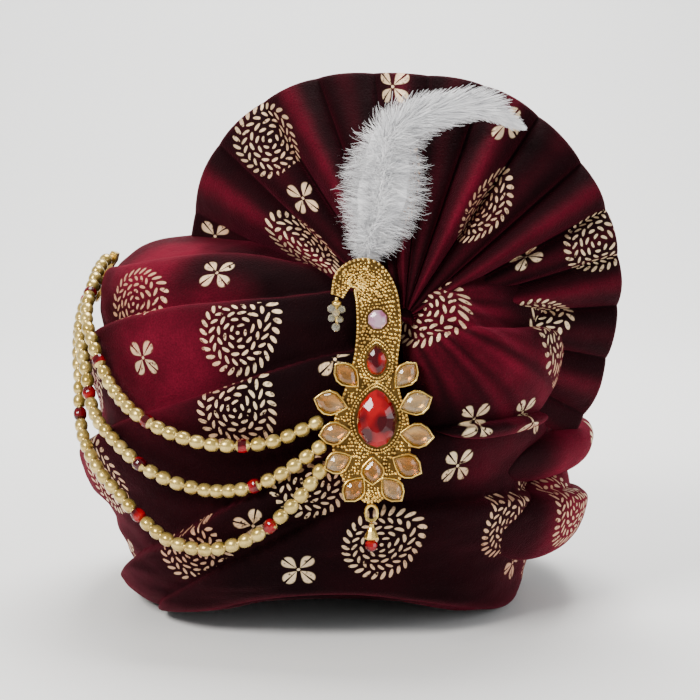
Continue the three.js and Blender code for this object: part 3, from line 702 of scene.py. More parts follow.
# The side drape: a puff of the same cloth that runs out of the knot to the right and is tucked in below.
# Its gathers fan out from the knot. Padded like the crown, and its edges are tucked against it.
DRAPE = {
    "turn": -45, "half_turn": 28, "z": 135, "half_height": 36, "corner": 3,
    "proud": 19, "fullness": 3.5, "start": 0.9, "rising": 8,
    "rises": [{"turn": -21, "half_turn": 13, "z": 154, "half_height": 17, "by": 9}],
    "gathers": 15, "gather_depth": 2.2, "gather_turn": -14, "gather_height": 172,
    "columns": 200, "rows": 110,
}
DRAPE_MOTIFS = [
    {"turn": -21, "z": 154, "kind": "roundel", "tip": 120},
    {"turn": -32, "z": 110, "kind": "flower", "tip": 0},
    {"turn": -47, "z": 109, "kind": "flower", "tip": 0},
    {"turn": -58, "z": 142, "kind": "roundel", "tip": 90},
]
# Painted highlights on the side drape.
DRAPE_PAINTED_LIGHT = [
    {"x": 58, "y": -106, "z": 150, "reach": 30, "strength": 0.6},
    {"x": 84, "y": -82, "z": 122, "reach": 26, "strength": 0.5},
]
# A fold's skin turns in at this share of its rows, and goes on sunk in the crown. Its edge lies under the
# crown's own skin by the tuck.
TURNED_IN = 0.86
TUCK = {"edge": 2, "behind": 3, "middle": 5}
GATHER = {"reach": 60, "fine": 2.7, "fine_share": 0.4, "least": 0.15, "degree": 2}
GATHER_LIGHT = {"strength": 0.4, "fine": 3.3, "fine_share": 0.7}
FOLD_DRAG = {"depth": 0.9, "stretch": 1.7, "shift": 40}


def from_gather(fold, turn, z):
    """The bearing and the distance of a place from where the gathers run together."""
    across, up = GATHER["degree"] * (turn - fold["gather_turn"]), z - fold["gather_height"]
    return np.arctan2(up, across), np.hypot(up, across)


def rises_at(fold, turn, z):
    """How much further a fold swells at its own rises."""
    total = 0 * z
    for rise in fold.get("rises", ()):
        aside, above = (turn - rise["turn"]) / rise["half_turn"], (z - rise["z"]) / rise["half_height"]
        total = total + rise["by"] * np.exp(-(aside**2 + above**2))
    return total


def padded_fold(name, fold):
    """A swelling layer on the crown, closed behind by a skin that is sunk in it."""
    def surface(column, row):
        angle, corner = 2 * np.pi * column, fold["corner"]
        behind = np.clip((row - TURNED_IN) / (1 - TURNED_IN), 0, 1)
        size = np.clip(row / TURNED_IN, 0, 1) * (1 - behind)
        rounding = np.abs(np.cos(angle)) ** corner + np.abs(np.sin(angle)) ** corner
        squared = size * rounding ** (-1 / corner)
        turn = fold["turn"] + fold["half_turn"] * squared * np.cos(angle)
        z = fold["z"] + fold["half_height"] * squared * np.sin(angle)
        bearing, distance = from_gather(fold, turn, z)
        spread = distance / GATHER["reach"]
        pleat = np.cos(fold["gathers"] * bearing)
        pleat = pleat + GATHER["fine_share"] * np.cos(GATHER["fine"] * fold["gathers"] * bearing + 1)
        pleat = pleat * np.clip(1.5 - spread, GATHER["least"], 1) * np.clip(spread * 2, 0, 1)
        wrinkles = fold["gather_depth"] * pleat
        drawn_turn = turn * FOLD_DRAG["stretch"] + FOLD_DRAG["shift"]
        wrinkles = wrinkles + drag_folds(drawn_turn, z, FOLD_DRAG["depth"])
        entering = np.clip((fold["turn"] + fold["half_turn"] - turn) / fold["rising"], 0, 1)
        entering = fold["start"] + (1 - fold["start"]) * np.sin(np.pi / 2 * entering) ** 2
        swell = (fold["proud"] + TUCK["edge"]) * np.sqrt(np.clip(1 - size ** fold["fullness"], 0, 1))
        swell = swell * entering - TUCK["edge"]
        swell = swell + rises_at(fold, turn, z) * (1 - size**6) + wrinkles * (1 - size**4)
        sunk = TUCK["behind"] + (TUCK["middle"] - TUCK["behind"]) * np.minimum(behind * 4, 1)
        return on_crown(turn, share_at(z), np.where(behind > 0, -sunk, swell))

    return carried_grid(name, fold["columns"], fold["rows"], surface)


drape = padded_fold("side_drape_cloth", DRAPE)


def fold_motifs(fold, rows):
    """Motifs on a padded fold, by their turn and height."""
    def point_at(turn, height):
        aside, above = (turn - fold["turn"]) / fold["half_turn"], (height - fold["z"]) / fold["half_height"]
        size = min((abs(aside) ** fold["corner"] + abs(above) ** fold["corner"]) ** (1 / fold["corner"]), 1)
        swell = (fold["proud"] + TUCK["edge"]) * math.sqrt(1 - size ** fold["fullness"]) - TUCK["edge"]
        swell += rises_at(fold, turn, height)
        return in_frame(on_crown(np.array([turn], float), share_at(np.array([height], float)), swell))[0]

    motifs = []
    for row in rows:
        middle, across, up = print_frame(point_at, row["turn"], row["z"], row["tip"])
        motifs.append({"middle": middle, "across": across, "up": up, "kind": row["kind"], "layer": 0})
    return motifs


def gather_light(points, fold):
    """The light and dark of the gathers that run out of the knot, about 1."""
    turn = np.degrees(np.arctan2(HEAD_AXIS[0] - points[:, 0], HEAD_AXIS[1] - points[:, 1]))
    around = fold["gathers"] * from_gather(fold, turn, points[:, 2])[0]
    waves = np.cos(2 * around) + GATHER_LIGHT["fine_share"] * np.cos(GATHER_LIGHT["fine"] * around + 1)
    return 1 + GATHER_LIGHT["strength"] * waves


lay_print(drape, fold_motifs(DRAPE, DRAPE_MOTIFS))
drape_points = points_of(drape)
# Painted highlights on the drape, painted lighter and darker along the gathers.
lay_painted_light(drape, patches_at(drape_points, DRAPE_PAINTED_LIGHT) * gather_light(drape_points, DRAPE))
drape.data.materials.append(velvet)
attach(drape, "root")
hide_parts("side_drape")


# The two tail folds: the last turn of the cloth, rolled round the right side and tucked in at the back.
TAIL_FOLDS = [
    {
        "name": "tail_fold_upper",
        "turn": -100, "half_turn": 50, "z": 80, "half_height": 17, "corner": 2,
        "proud": 24.5, "fullness": 3.2, "start": 0.25, "rising": 34,
        "gathers": 10, "gather_depth": 0.8, "gather_turn": -30, "gather_height": 84,
        "columns": 220, "rows": 70, "print": [
            {"turn": -84, "z": 82, "kind": "flower", "tip": 20},
            {"turn": -118, "z": 80, "kind": "flower", "tip": 60},
        ],
    },
    {
        "name": "tail_fold_lower",
        "turn": -98, "half_turn": 54, "z": 46, "half_height": 25, "corner": 2,
        "proud": 22.5, "fullness": 3.2, "start": 0.25, "rising": 40,
        "gathers": 12, "gather_depth": 1.0, "gather_turn": -24, "gather_height": 60,
        "columns": 240, "rows": 80, "print": [
            {"turn": -72, "z": 55, "kind": "roundel", "tip": 90},
            {"turn": -101, "z": 42, "kind": "flower", "tip": 20},
            {"turn": -128, "z": 48, "kind": "roundel", "tip": 60},
        ],
    },
]
# Painted highlights on the tail folds.
TAIL_PAINTED_LIGHT = [
    {"x": 122, "y": -20, "z": 84, "reach": 30, "strength": 0.9},
    {"x": 116, "y": -24, "z": 46, "reach": 32, "strength": 0.8},
    {"x": 110, "y": 60, "z": 60, "reach": 30, "strength": 0.6},
]
for fold in TAIL_FOLDS:
    tail = padded_fold(fold["name"] + "_cloth", fold)
    lay_print(tail, fold_motifs(fold, fold["print"]))
    lay_painted_light(tail, patches_at(points_of(tail), TAIL_PAINTED_LIGHT))
    tail.data.materials.append(velvet)
    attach(tail, "root")
    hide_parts(fold["name"])


# The fan crest: a doubled length of the cloth, folded along its rim, pleated and drawn together at the
# knot behind the brooch. It leans back against the crown and stands by the stiffness of its pleats.
KNOT = np.array([25.0, -106.0, 160.0])
FAN = {
    "heart": 5, "thickness": 3.4, "usual_radius": 115, "lean_power": 1.15,
    "first_bearing": 168, "bearing_step": 26,
    "rim_wave": 0.6, "swell": 1.2, "swell_from": 0.05, "swell_over": 0.73,
}
FAN_RIM = [
    {"radius": 112, "depth": 116},
    {"radius": 121.5, "depth": 106},
    {"radius": 121, "depth": 90},
    {"radius": 114.5, "depth": 78},
    {"radius": 117, "depth": 72},
    {"radius": 115.5, "depth": 70},
    {"radius": 113.5, "depth": 70},
    {"radius": 111, "depth": 74},
    {"radius": 116, "depth": 84},
]
PLEATS = [
    {"bearing": 168, "height": 6, "lit": 0.1},
    {"bearing": 149, "height": 13, "lit": 0.5},
    {"bearing": 133, "height": 3.5, "lit": 0.1},
    {"bearing": 118, "height": 15, "lit": 0.55},
    {"bearing": 104, "height": 3, "lit": 0.15},
    {"bearing": 90, "height": 14, "lit": 0.55},
    {"bearing": 76, "height": 3.5, "lit": 0.2},
    {"bearing": 61, "height": 16, "lit": 0.7},
    {"bearing": 45, "height": 4, "lit": 0.15},
    {"bearing": 30, "height": 14, "lit": 0.6},
    {"bearing": 18, "height": 4, "lit": 0.25},
    {"bearing": 5, "height": 13, "lit": 0.65},
    {"bearing": -9, "height": 5, "lit": 0.2},
    {"bearing": -24, "height": 12, "lit": 0.4},
    {"bearing": -40, "height": 6, "lit": 0.2},
]
# The lower pleats start from behind the side drape.
FAN_TUCK = {"bearing": 26, "fade": 30, "reach": 0.6, "depth": 18, "steepness": 12}
PLEAT_SHAPE = {"wander": 0.11, "pace": 2.1, "shift": 0.7, "sharpness": 0.75, "valley": 0.6}
FAN_COLUMNS = 420
FAN_ROWS = 110
RIM_SHARE = 0.47


def rim_share_of(bearing):
    """The share of the way round the rim's table at a bearing."""
    return (FAN["first_bearing"] - bearing) / (FAN["bearing_step"] * (len(FAN_RIM) - 1))


def fan_ridge(share):
    """The pleats' shape from -0.6 in a sharp valley to 0.4 on a rounded ridge."""
    phase = np.pi * share * (len(PLEATS) - 1)
    wander = np.sin(PLEAT_SHAPE["pace"] * phase + PLEAT_SHAPE["shift"]) * np.sin(phase) ** 2
    height = np.abs(np.cos(phase + PLEAT_SHAPE["wander"] * wander)) ** PLEAT_SHAPE["sharpness"]
    return height - PLEAT_SHAPE["valley"]


def fan_point(share, out, side):
    """Points of the fan, by the share of the way round it and out from the knot, and by its face."""
    bearing = along(PLEATS, "bearing", share)
    rim_share = rim_share_of(bearing)
    ridge = fan_ridge(share)
    radius = FAN["heart"] + (along(FAN_RIM, "radius", rim_share) - FAN["heart"]) * out
    radius = radius + FAN["rim_wave"] * ridge * out**3
    swell = FAN["swell"] * np.sin(np.pi * (FAN["swell_from"] + FAN["swell_over"] * out))
    pleat = swell * along(PLEATS, "height", share) * ridge
    tucked = np.clip((FAN_TUCK["bearing"] - bearing) / FAN_TUCK["fade"], 0, 1)
    tucked = tucked * np.clip(1 - out / FAN_TUCK["reach"], 0, 1)
    pleat = pleat - FAN_TUCK["depth"] * tucked * np.minimum(out * FAN_TUCK["steepness"], 1)
    cloth = side * FAN["thickness"] / 2
    depth = along(FAN_RIM, "depth", rim_share) * out ** FAN["lean_power"] - pleat + cloth
    x = KNOT[0] + radius * np.cos(np.radians(bearing))
    return np.stack([x, KNOT[1] + depth, KNOT[2] + radius * np.sin(np.radians(bearing))], -1)


def fan_surface(column, row):
    """Out over the front face, round the folded rim and back in behind."""
    angle = np.pi * np.clip((row - RIM_SHARE) / (1 - 2 * RIM_SHARE), 0, 1)
    out = np.clip(np.minimum(row, 1 - row) / RIM_SHARE, 0, 1)
    roll = FAN["thickness"] / 2 / FAN["usual_radius"]
    return fan_point(column, out * (1 - roll) + roll * np.sin(angle), -np.cos(angle))


fan = carried_grid("pleated_fan", FAN_COLUMNS, FAN_ROWS, fan_surface)
FAN_MOTIFS = [
    {"bearing": 129, "radius": 104, "kind": "roundel", "tip": 60},
    {"bearing": 146, "radius": 56, "kind": "roundel", "tip": 150},
    {"bearing": 52, "radius": 63, "kind": "roundel", "tip": 60},
    {"bearing": 17, "radius": 104, "kind": "roundel", "tip": 10},
    {"bearing": -2, "radius": 64, "kind": "roundel", "tip": -20},
    {"bearing": 132, "radius": 72, "kind": "flower", "tip": 20},
    {"bearing": 23, "radius": 66, "kind": "flower", "tip": 30},
    {"bearing": 162, "radius": 100, "kind": "flower", "tip": 0},
    {"bearing": 92, "radius": 108, "kind": "flower", "tip": 0},
    {"bearing": 60, "radius": 104, "kind": "flower", "tip": 0},
    {"bearing": 90, "radius": 62, "kind": "roundel", "tip": 90},
]
# The print is laid on the flat cloth, measured along the pleats and out from the knot, and so it is folded
# and drawn together with them. The two faces of the cloth lie a metre apart there.
FACE_SHIFT = 500
fine_shares = np.linspace(0, 1, 2001)
bearings = along(PLEATS, "bearing", fine_shares)
section = fan_point(fine_shares, 0.8, 0)
cloth_along = np.concatenate([[0], np.cumsum(np.linalg.norm(np.diff(section, axis=0), axis=1))])
fan_print = []
for side in (-1, 1):
    for row in FAN_MOTIFS:
        angle = math.radians(row["tip"] - row["bearing"] + 90)
        reach_along = np.interp(-row["bearing"], -bearings, cloth_along)
        fan_print.append({
            "middle": np.array([reach_along, FACE_SHIFT * side, row["radius"]]) / 1000,
            "across": np.array([math.cos(angle), 0, math.sin(angle)]),
            "up": np.array([-math.sin(angle), 0, math.cos(angle)]),
            "kind": row["kind"],
        })
fan_places = points_of(fan) - KNOT
fan_bearings = np.degrees(np.arctan2(fan_places[:, 2], fan_places[:, 0]))
fan_bearings = np.where(fan_bearings < -100, fan_bearings + 360, fan_bearings)
fan_shares = np.interp(-fan_bearings, -bearings, fine_shares)
fan_radii = np.hypot(fan_places[:, 0], fan_places[:, 2])
fan_reach = along(FAN_RIM, "radius", rim_share_of(fan_bearings))
fan_out = np.clip((fan_radii - FAN["heart"]) / (fan_reach - FAN["heart"]), 0, 1)
fan_middle = fan_point(fan_shares, fan_out, 0)
fan_side = np.where(fan_places[:, 1] + KNOT[1] < fan_middle[:, 1], -FACE_SHIFT, FACE_SHIFT)
flat_cloth = np.stack([np.interp(fan_shares, fine_shares, cloth_along), fan_side, fan_radii], -1) / 1000
lay_print(fan, fan_print, places=flat_cloth)
# Painted highlights along the pleats' ridges, as strong as each pleat's lit share.
nearest_pleat = np.rint(fan_shares * (len(PLEATS) - 1)).astype(int)
pleat_highlight = np.array([pleat["lit"] for pleat in PLEATS])[nearest_pleat]
ridge_top = np.clip((fan_ridge(fan_shares) + 0.1) / 0.5, 0, 1)
lay_painted_light(fan, pleat_highlight * ridge_top**4)
fan.data.materials.append(velvet)
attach(fan, "root")
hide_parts("fan_crest")


# The three strings of pearls: golden glass pearls with a faceted red bead after every few, threaded on one
# cord each. They are sewn to the brooch's left edge, swag over the crown and end at a clasp behind it.
PEARL = {
    "radius": 3.4, "pitch": 7.3, "neck": 0.9, "stand_off": 3.7, "roundness": 0.9, "sides": 16, "rings": 9,
}
PEARL_SHADE = (0.46, 0.31, 0.06, 1)
PEARL_LIGHT = (0.72, 0.54, 0.17, 1)
RED_DEEP = (0.06, 0.0, 0.003, 1)
RED_LIT = (0.46, 0.0, 0.005, 1)
# A string bridges the hollows between the layers' edges within a few of its route's steps and a little
# above and below its line.
ROUTE_STEPS = 101
BRIDGE = {"steps": 6, "beside": (-4, 0, 4)}
LINE_STEPS = 1201
START_STEPS = 20
STRINGS = [
    {
        "name": "pearl_string_upper", "reds": (4, 11, 18, 25), "route": [
            {"turn": 5, "z": 109}, {"turn": 14, "z": 101.5}, {"turn": 25, "z": 99.5},
            {"turn": 36, "z": 103.5}, {"turn": 47, "z": 112}, {"turn": 57, "z": 123.5},
            {"turn": 65, "z": 140}, {"turn": 75, "z": 155}, {"turn": 86, "z": 167}, {"turn": 96, "z": 173},
        ],
    },
    {
        "name": "pearl_string_middle", "reds": (4, 13, 21, 30), "route": [
            {"turn": 4, "z": 98}, {"turn": 12, "z": 87}, {"turn": 21, "z": 79.5}, {"turn": 31, "z": 77.5},
            {"turn": 41, "z": 84}, {"turn": 52, "z": 97}, {"turn": 62, "z": 109}, {"turn": 69, "z": 127},
            {"turn": 78, "z": 145}, {"turn": 88, "z": 158}, {"turn": 96, "z": 164.5},
        ],
    },
    {
        "name": "pearl_string_lower", "reds": (4, 15, 25, 35), "route": [
            {"turn": 3.5, "z": 87}, {"turn": 9, "z": 73}, {"turn": 17, "z": 59}, {"turn": 28, "z": 51.5},
            {"turn": 39, "z": 55.5}, {"turn": 50, "z": 68}, {"turn": 60, "z": 84}, {"turn": 69, "z": 100},
            {"turn": 75, "z": 120}, {"turn": 84, "z": 140}, {"turn": 96, "z": 156},
        ],
    },
]


def read_off(values, shares, at):
    """Rows of three values, read off between their shares."""
    return np.stack([np.interp(at, shares, values[:, k]) for k in range(3)], -1)


def oval_about(column, side, up, wide, thick):
    """The way from a line to an oval ring about it, for a share of the way round the ring."""
    angle = 2 * np.pi * column
    return (np.cos(angle) * wide)[:, None] * side + (np.sin(angle) * thick)[:, None] * up


def string_line(route):
    """Evenly spaced points along a string's middle, the way out of the cloth there, and its length."""
    shares = np.linspace(0, 1, ROUTE_STEPS)
    turn, z = along(route, "turn", shares), along(route, "z", shares)
    relief_near = np.max([layer_relief(turn, z + beside) for beside in BRIDGE["beside"]], axis=0)
    windows = [slice(max(i - BRIDGE["steps"], 0), i + BRIDGE["steps"] + 1) for i in range(len(shares))]
    bridged = np.array([relief_near[window].max() for window in windows])
    eased = np.array([bridged[window].mean() for window in windows])
    share = share_at(z)
    out = crown_normal(turn, share)
    points = crown_outline(turn, share) + out * (eased + PEARL["stand_off"])[:, None]
    fine = np.linspace(0, 1, LINE_STEPS)
    points, out = read_off(points, shares, fine), read_off(out, shares, fine)
    length = np.concatenate([[0], np.cumsum(np.linalg.norm(np.diff(points, axis=0), axis=1))])
    even = np.linspace(0, length[-1], LINE_STEPS)
    return read_off(points, length, even), read_off(out, length, even), length[-1]


def beads_along(line, outs, length, pearls):
    """The skin of a string, which swells at each bead and draws in to the cord between them. Its first
    bead stands before the start of the route, at the brooch's edge."""
    steps = np.linspace(0, 1, len(line))
    backward = unit(line[0] - line[START_STEPS])
    ways = np.gradient(line, axis=0)

    def surface(column, row):
        row = row * (1 + 1 / pearls) - 1 / pearls
        within = (row * pearls % 1) * 2 - 1
        swell = np.sqrt(np.clip(1 - within**2, 0, 1)) ** PEARL["roundness"]
        radius = PEARL["neck"] + (PEARL["radius"] - PEARL["neck"]) * swell
        at = read_off(line, steps, row) + backward * length * np.maximum(-row, 0)[:, None]
        ahead = unit(read_off(ways, steps, row))
        side = unit(np.cross(ahead, read_off(outs, steps, row)))
        return at + oval_about(column, side, np.cross(side, ahead), radius, radius)

    return surface


def cut_glass(name, colours, grain, clear):
    """Cut glass of two colours that run into each other, clear by a share, with its main shader."""
    glass, tree, body, place = start_finish(name)
    cloud = noise_of(tree, place, **grain)
    tree.links.new(blend_colours(tree, cloud, *colours), body.inputs["Base Color"])
    body.inputs["Roughness"].default_value = 0.05
    body.inputs["IOR"].default_value = 1.6
    body.inputs["Transmission Weight"].default_value = clear
    return glass, body


pearl_gloss, tree, lustre, place = start_finish("golden pearl")
cloudy = noise_of(tree, place, scale=160, detail=2, low=0.3, high=0.7)
tree.links.new(blend_colours(tree, cloudy, PEARL_SHADE, PEARL_LIGHT), lustre.inputs["Base Color"])
pearl_roughness = math_step(tree, "MULTIPLY_ADD", cloudy, 0.12, 0.2)
tree.links.new(pearl_roughness, lustre.inputs["Roughness"])
lustre.inputs["Metallic"].default_value = 0.65
lustre.inputs["Coat Weight"].default_value = 0.6
lustre.inputs["Coat Roughness"].default_value = 0.08

red_grain = {"scale": 110, "detail": 1, "low": 0.4, "high": 0.62}
red_glass, stone = cut_glass("red glass", (RED_DEEP, RED_LIT), red_grain, clear=0.3)
stone.inputs["Roughness"].default_value = 0.06
stone.inputs["Specular IOR Level"].default_value = 0.25

for string in STRINGS:
    line, outs, length = string_line(string["route"])
    pearls = round(length / PEARL["pitch"])
    beads = beads_along(line, outs, length, pearls)
    piece = carried_grid(string["name"] + "_beads", PEARL["sides"], (pearls + 1) * PEARL["rings"], beads)
    piece.data.materials.append(pearl_gloss)
    piece.data.materials.append(red_glass)
    bead_shares = (np.arange(pearls) + 0.5) / pearls
    middles = in_frame(read_off(line, np.linspace(0, 1, len(line)), bead_shares))
    reds = [Vector(middles[number]) for number in string["reds"] if number < pearls]
    for face in piece.data.polygons:
        if any((face.center - red).length < PEARL["pitch"] / 2000 for red in reds):
            face.material_index = 1
            face.use_smooth = False
    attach(piece, "root")
    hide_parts(string["name"])


# The brooch: a gold-plated paisley cast with a hook at its head, its plate edged with fine beads. Petals
# round it hold pale crystals in closed settings. The plate and its settings are soldered into one piece.
BROOCH = {
    "x": 10, "y": -124.6, "z": 76, "lean": 8.6, "thickness": 3.0, "side_power": 0.45, "back_power": 0.3,
}
DROP_NARROWING = 0.42
BROOCH_FOOT = Matrix.Translation(Vector(in_frame([BROOCH["x"], BROOCH["y"], BROOCH["z"]])))
BROOCH_LEAN = Matrix.Rotation(-math.radians(BROOCH["lean"]), 4, "X")
BROOCH_SPINE = [
    {"x": 0, "z": 0, "half": 3.5},
    {"x": 0, "z": 8, "half": 12},
    {"x": 0, "z": 22, "half": 18},
    {"x": 0, "z": 38, "half": 17.5},
    {"x": 0.5, "z": 52, "half": 13},
    {"x": 2, "z": 66, "half": 10.5},
    {"x": 3.5, "z": 82, "half": 10.5},
    {"x": 2, "z": 97, "half": 10},
    {"x": -3, "z": 105.5, "half": 8.5},
    {"x": -12, "z": 104.5, "half": 5.5},
    {"x": -16, "z": 96, "half": 3.2},
]
PETALS = [
    {"x": -11.5, "z": 59, "bearing": 135, "long": 13, "wide": 8},
    {"x": 16, "z": 59, "bearing": 50, "long": 13, "wide": 8},
    {"x": -19, "z": 46, "bearing": 165, "long": 14, "wide": 9},
    {"x": 20.5, "z": 46, "bearing": 20, "long": 14, "wide": 9},
    {"x": -17, "z": 32, "bearing": 188, "long": 13, "wide": 8.5},
    {"x": 21, "z": 31, "bearing": -6, "long": 14, "wide": 9},
    {"x": -15.5, "z": 18.5, "bearing": 205, "long": 12, "wide": 8},
    {"x": 16.5, "z": 17, "bearing": -28, "long": 13, "wide": 9},
    {"x": -8, "z": 6, "bearing": 232, "long": 12, "wide": 8},
    {"x": 9.5, "z": 6, "bearing": -50, "long": 12, "wide": 8},
    {"x": 0.5, "z": 14.5, "bearing": 270, "long": 11, "wide": 8.5},
]
LEAF_HALF = (0, 0.55, 0.95, 1, 0.72, 0)
# A closed setting's section, from the middle of its base round the wall to the middle of the stone's seat:
# how far it lies outside the stone's outline, and its height in front of the plate's back.
COLLAR = [
    {"grow": -9, "y": -0.3},
    {"grow": 1.5, "y": -0.3},
    {"grow": 1.6, "y": -2.4},
    {"grow": 1.5, "y": -3.6},
    {"grow": 1.1, "y": -4.2},
    {"grow": 0.65, "y": -4.2},
    {"grow": 0.45, "y": -3.8},
    {"grow": 0.45, "y": -3.06},
    {"grow": -9, "y": -3.06},
]
COLLAR_SIDES = 40
# Grains of gold along the plate's edges, over its face, and round the red stones and the rose one.
SPINE_LENGTH = 135
EDGE_GRAIN = {"radius": 0.85, "pitch": 1.75, "inset": 0.7, "y": -2.6}
FINE_GRAIN = {"radius": (0.4, 0.95), "pitch": 1.45, "astray": 0.35, "left": 2.2, "right": 2, "y": -3.0}
RUBY_GRAIN = {"spacing": 2.1, "y": -3.3}
RUBY_RINGS = [{"grow": 1.25, "radius": 0.75}, {"grow": 2.7, "radius": 0.55}]
ROSE_GRAIN = {"count": 24, "grow": 1.1, "radius": 0.65, "y": -3.2}
STONE_MARGIN = {"ruby": 2.8, "petal": 1.6}
RUBIES = [
    {"x": 2.4, "z": 39, "half_width": 9.5, "half_height": 13.5},
    {"x": 2.4, "z": 66, "half_width": 4.8, "half_height": 7},
]
ROSE = {"x": 2.8, "z": 85, "radius": 4.6}
plate_shape = bmesh.new()


def spine_at(share):
    """The middle of the brooch's plate, the way across it and its half-width."""
    share = np.asarray(share, float)
    before, after = np.maximum(share - 0.01, 0), np.minimum(share + 0.01, 1)
    ahead = [along(BROOCH_SPINE, key, after) - along(BROOCH_SPINE, key, before) for key in ("x", "z")]
    length = np.hypot(*ahead)
    point = (along(BROOCH_SPINE, "x", share), along(BROOCH_SPINE, "z", share))
    return point, (ahead[1] / length, -ahead[0] / length), along(BROOCH_SPINE, "half", share)


def plate_surface(column, row):
    """Round the plate's softly squared section and along its spine."""
    point, across_way, half = spine_at(row)
    angle = 2 * np.pi * column
    side = half * np.sign(np.cos(angle)) * np.abs(np.cos(angle)) ** BROOCH["side_power"]
    forward = np.sign(np.sin(angle)) * np.abs(np.sin(angle)) ** BROOCH["back_power"]
    depth = BROOCH["thickness"] / 2 * (1 + forward)
    return np.stack([point[0] + across_way[0] * side, -depth, point[1] + across_way[1] * side], -1) / 1000


def add_grain(shape, x, y, z, radius):
    """A grain of gold on the brooch."""
    made = bmesh.ops.create_icosphere(shape, subdivisions=1, radius=radius / 1000)
    bmesh.ops.translate(shape, vec=Vector((x, y, z)) / 1000, verts=made["verts"])


def drop_outline(stone, angle, grow):
    """A drop-cut stone's outline, grown by a distance."""
    narrowing = 1 - DROP_NARROWING * np.maximum(0, np.sin(angle)) ** 2
    x = stone["x"] + (stone["half_width"] + grow) * np.cos(angle) * narrowing
    return x, stone["z"] + (stone["half_height"] + grow) * np.sin(angle)


def profile_at(profile, key, row):
    """A column of a profile, on straight lines between its corners."""
    return np.interp(row, np.linspace(0, 1, len(profile)), [corner[key] for corner in profile])


def add_collar(shape, outline, floor_to):
    """A closed setting: a base, a wall that stands round a stone, and the floor under it."""
    def surface(column, row):
        x, z = outline(column, np.maximum(profile_at(COLLAR, "grow", row), floor_to))
        return np.stack([x, profile_at(COLLAR, "y", row), z], -1) / 1000

    add_skin(shape, COLLAR_SIDES, len(COLLAR) - 1, surface)


def leaf_outline(petal):
    """The outline of a petal's crystal on the plate, grown by a distance."""
    def outline(column, grow):
        share = np.where(column < 0.5, column * 2, 2 - column * 2)
        half = np.interp(share, np.linspace(0, 1, len(LEAF_HALF)), LEAF_HALF) * (petal["wide"] / 2 + grow)
        ahead = (share - 0.5) * (petal["long"] + 2 * grow)
        aside = np.where(column < 0.5, half, -half)
        turn = math.radians(petal["bearing"])
        x = petal["x"] + ahead * math.cos(turn) - aside * math.sin(turn)
        return x, petal["z"] + ahead * math.sin(turn) + aside * math.cos(turn)

    return outline


add_skin(plate_shape, 64, 120, plate_surface)
for face in plate_shape.faces:
    face.material_index = 1
for petal in PETALS:
    add_collar(plate_shape, leaf_outline(petal), -petal["wide"] / 2)
for side in (-1, 1):
    for number in range(int(SPINE_LENGTH / EDGE_GRAIN["pitch"])):
        point, across_way, half = spine_at((number + 0.5) * EDGE_GRAIN["pitch"] / SPINE_LENGTH)
        x, z = (float(point[k] + side * across_way[k] * (half - EDGE_GRAIN["inset"])) for k in (0, 1))
        add_grain(plate_shape, x, EDGE_GRAIN["y"], z, EDGE_GRAIN["radius"])
for ruby in RUBIES:
    for ring in RUBY_RINGS:
        around = math.pi * (ruby["half_width"] + ruby["half_height"] + 2 * ring["grow"])
        count = int(around / (RUBY_GRAIN["spacing"] * ring["radius"]))
        for number in range(count):
            x, z = drop_outline(ruby, 2 * math.pi * number / count, ring["grow"])
            add_grain(plate_shape, float(x), RUBY_GRAIN["y"], float(z), ring["radius"])
for number in range(ROSE_GRAIN["count"]):
    angle = 2 * math.pi * number / ROSE_GRAIN["count"]
    reach = ROSE["radius"] + ROSE_GRAIN["grow"]
    x, z = ROSE["x"] + reach * math.cos(angle), ROSE["z"] + reach * math.sin(angle)
    add_grain(plate_shape, x, ROSE_GRAIN["y"], z, ROSE_GRAIN["radius"])


def in_oval(across, up, half_width, half_height):
    """Whether a place is inside an oval about its middle."""
    return (across / half_width) ** 2 + (up / half_height) ** 2 < 1


def under_a_stone(x, z):
    """Whether a place on the plate is under a stone or its collar."""
    for ruby in RUBIES:
        half_width = ruby["half_width"] + STONE_MARGIN["ruby"]
        half_height = ruby["half_height"] + STONE_MARGIN["ruby"]
        if in_oval(x - ruby["x"], z - ruby["z"], half_width, half_height):
            return True
    for petal in PETALS:
        turn = math.radians(petal["bearing"])
        ahead = (x - petal["x"]) * math.cos(turn) + (z - petal["z"]) * math.sin(turn)
        aside = (z - petal["z"]) * math.cos(turn) - (x - petal["x"]) * math.sin(turn)
        half_length = petal["long"] / 2 + STONE_MARGIN["petal"]
        half_width = petal["wide"] / 2 + STONE_MARGIN["petal"]
        if in_oval(ahead, aside, half_length, half_width):
            return True
    return math.hypot(x - ROSE["x"], z - ROSE["z"]) < ROSE["radius"] + STONE_MARGIN["petal"]


random_grains = np.random.default_rng(3)
for step in range(int(SPINE_LENGTH / FINE_GRAIN["pitch"])):
    point, across_way, half = spine_at(step * FINE_GRAIN["pitch"] / SPINE_LENGTH)
    beside = -half + FINE_GRAIN["left"] + (step % 2) * FINE_GRAIN["pitch"] / 2
    while beside < half - FINE_GRAIN["right"]:
        astray = random_grains.uniform(-FINE_GRAIN["astray"], FINE_GRAIN["astray"], 2)
        x, z = (float(point[k] + across_way[k] * beside + astray[k]) for k in (0, 1))
        radius = float(random_grains.uniform(*FINE_GRAIN["radius"]))
        if not under_a_stone(x, z):
            add_grain(plate_shape, x, FINE_GRAIN["y"], z, radius)
        beside += FINE_GRAIN["pitch"]
bmesh.ops.transform(plate_shape, matrix=BROOCH_FOOT @ BROOCH_LEAN, verts=plate_shape.verts)
brooch = piece_of("gold_brooch", plate_shape)


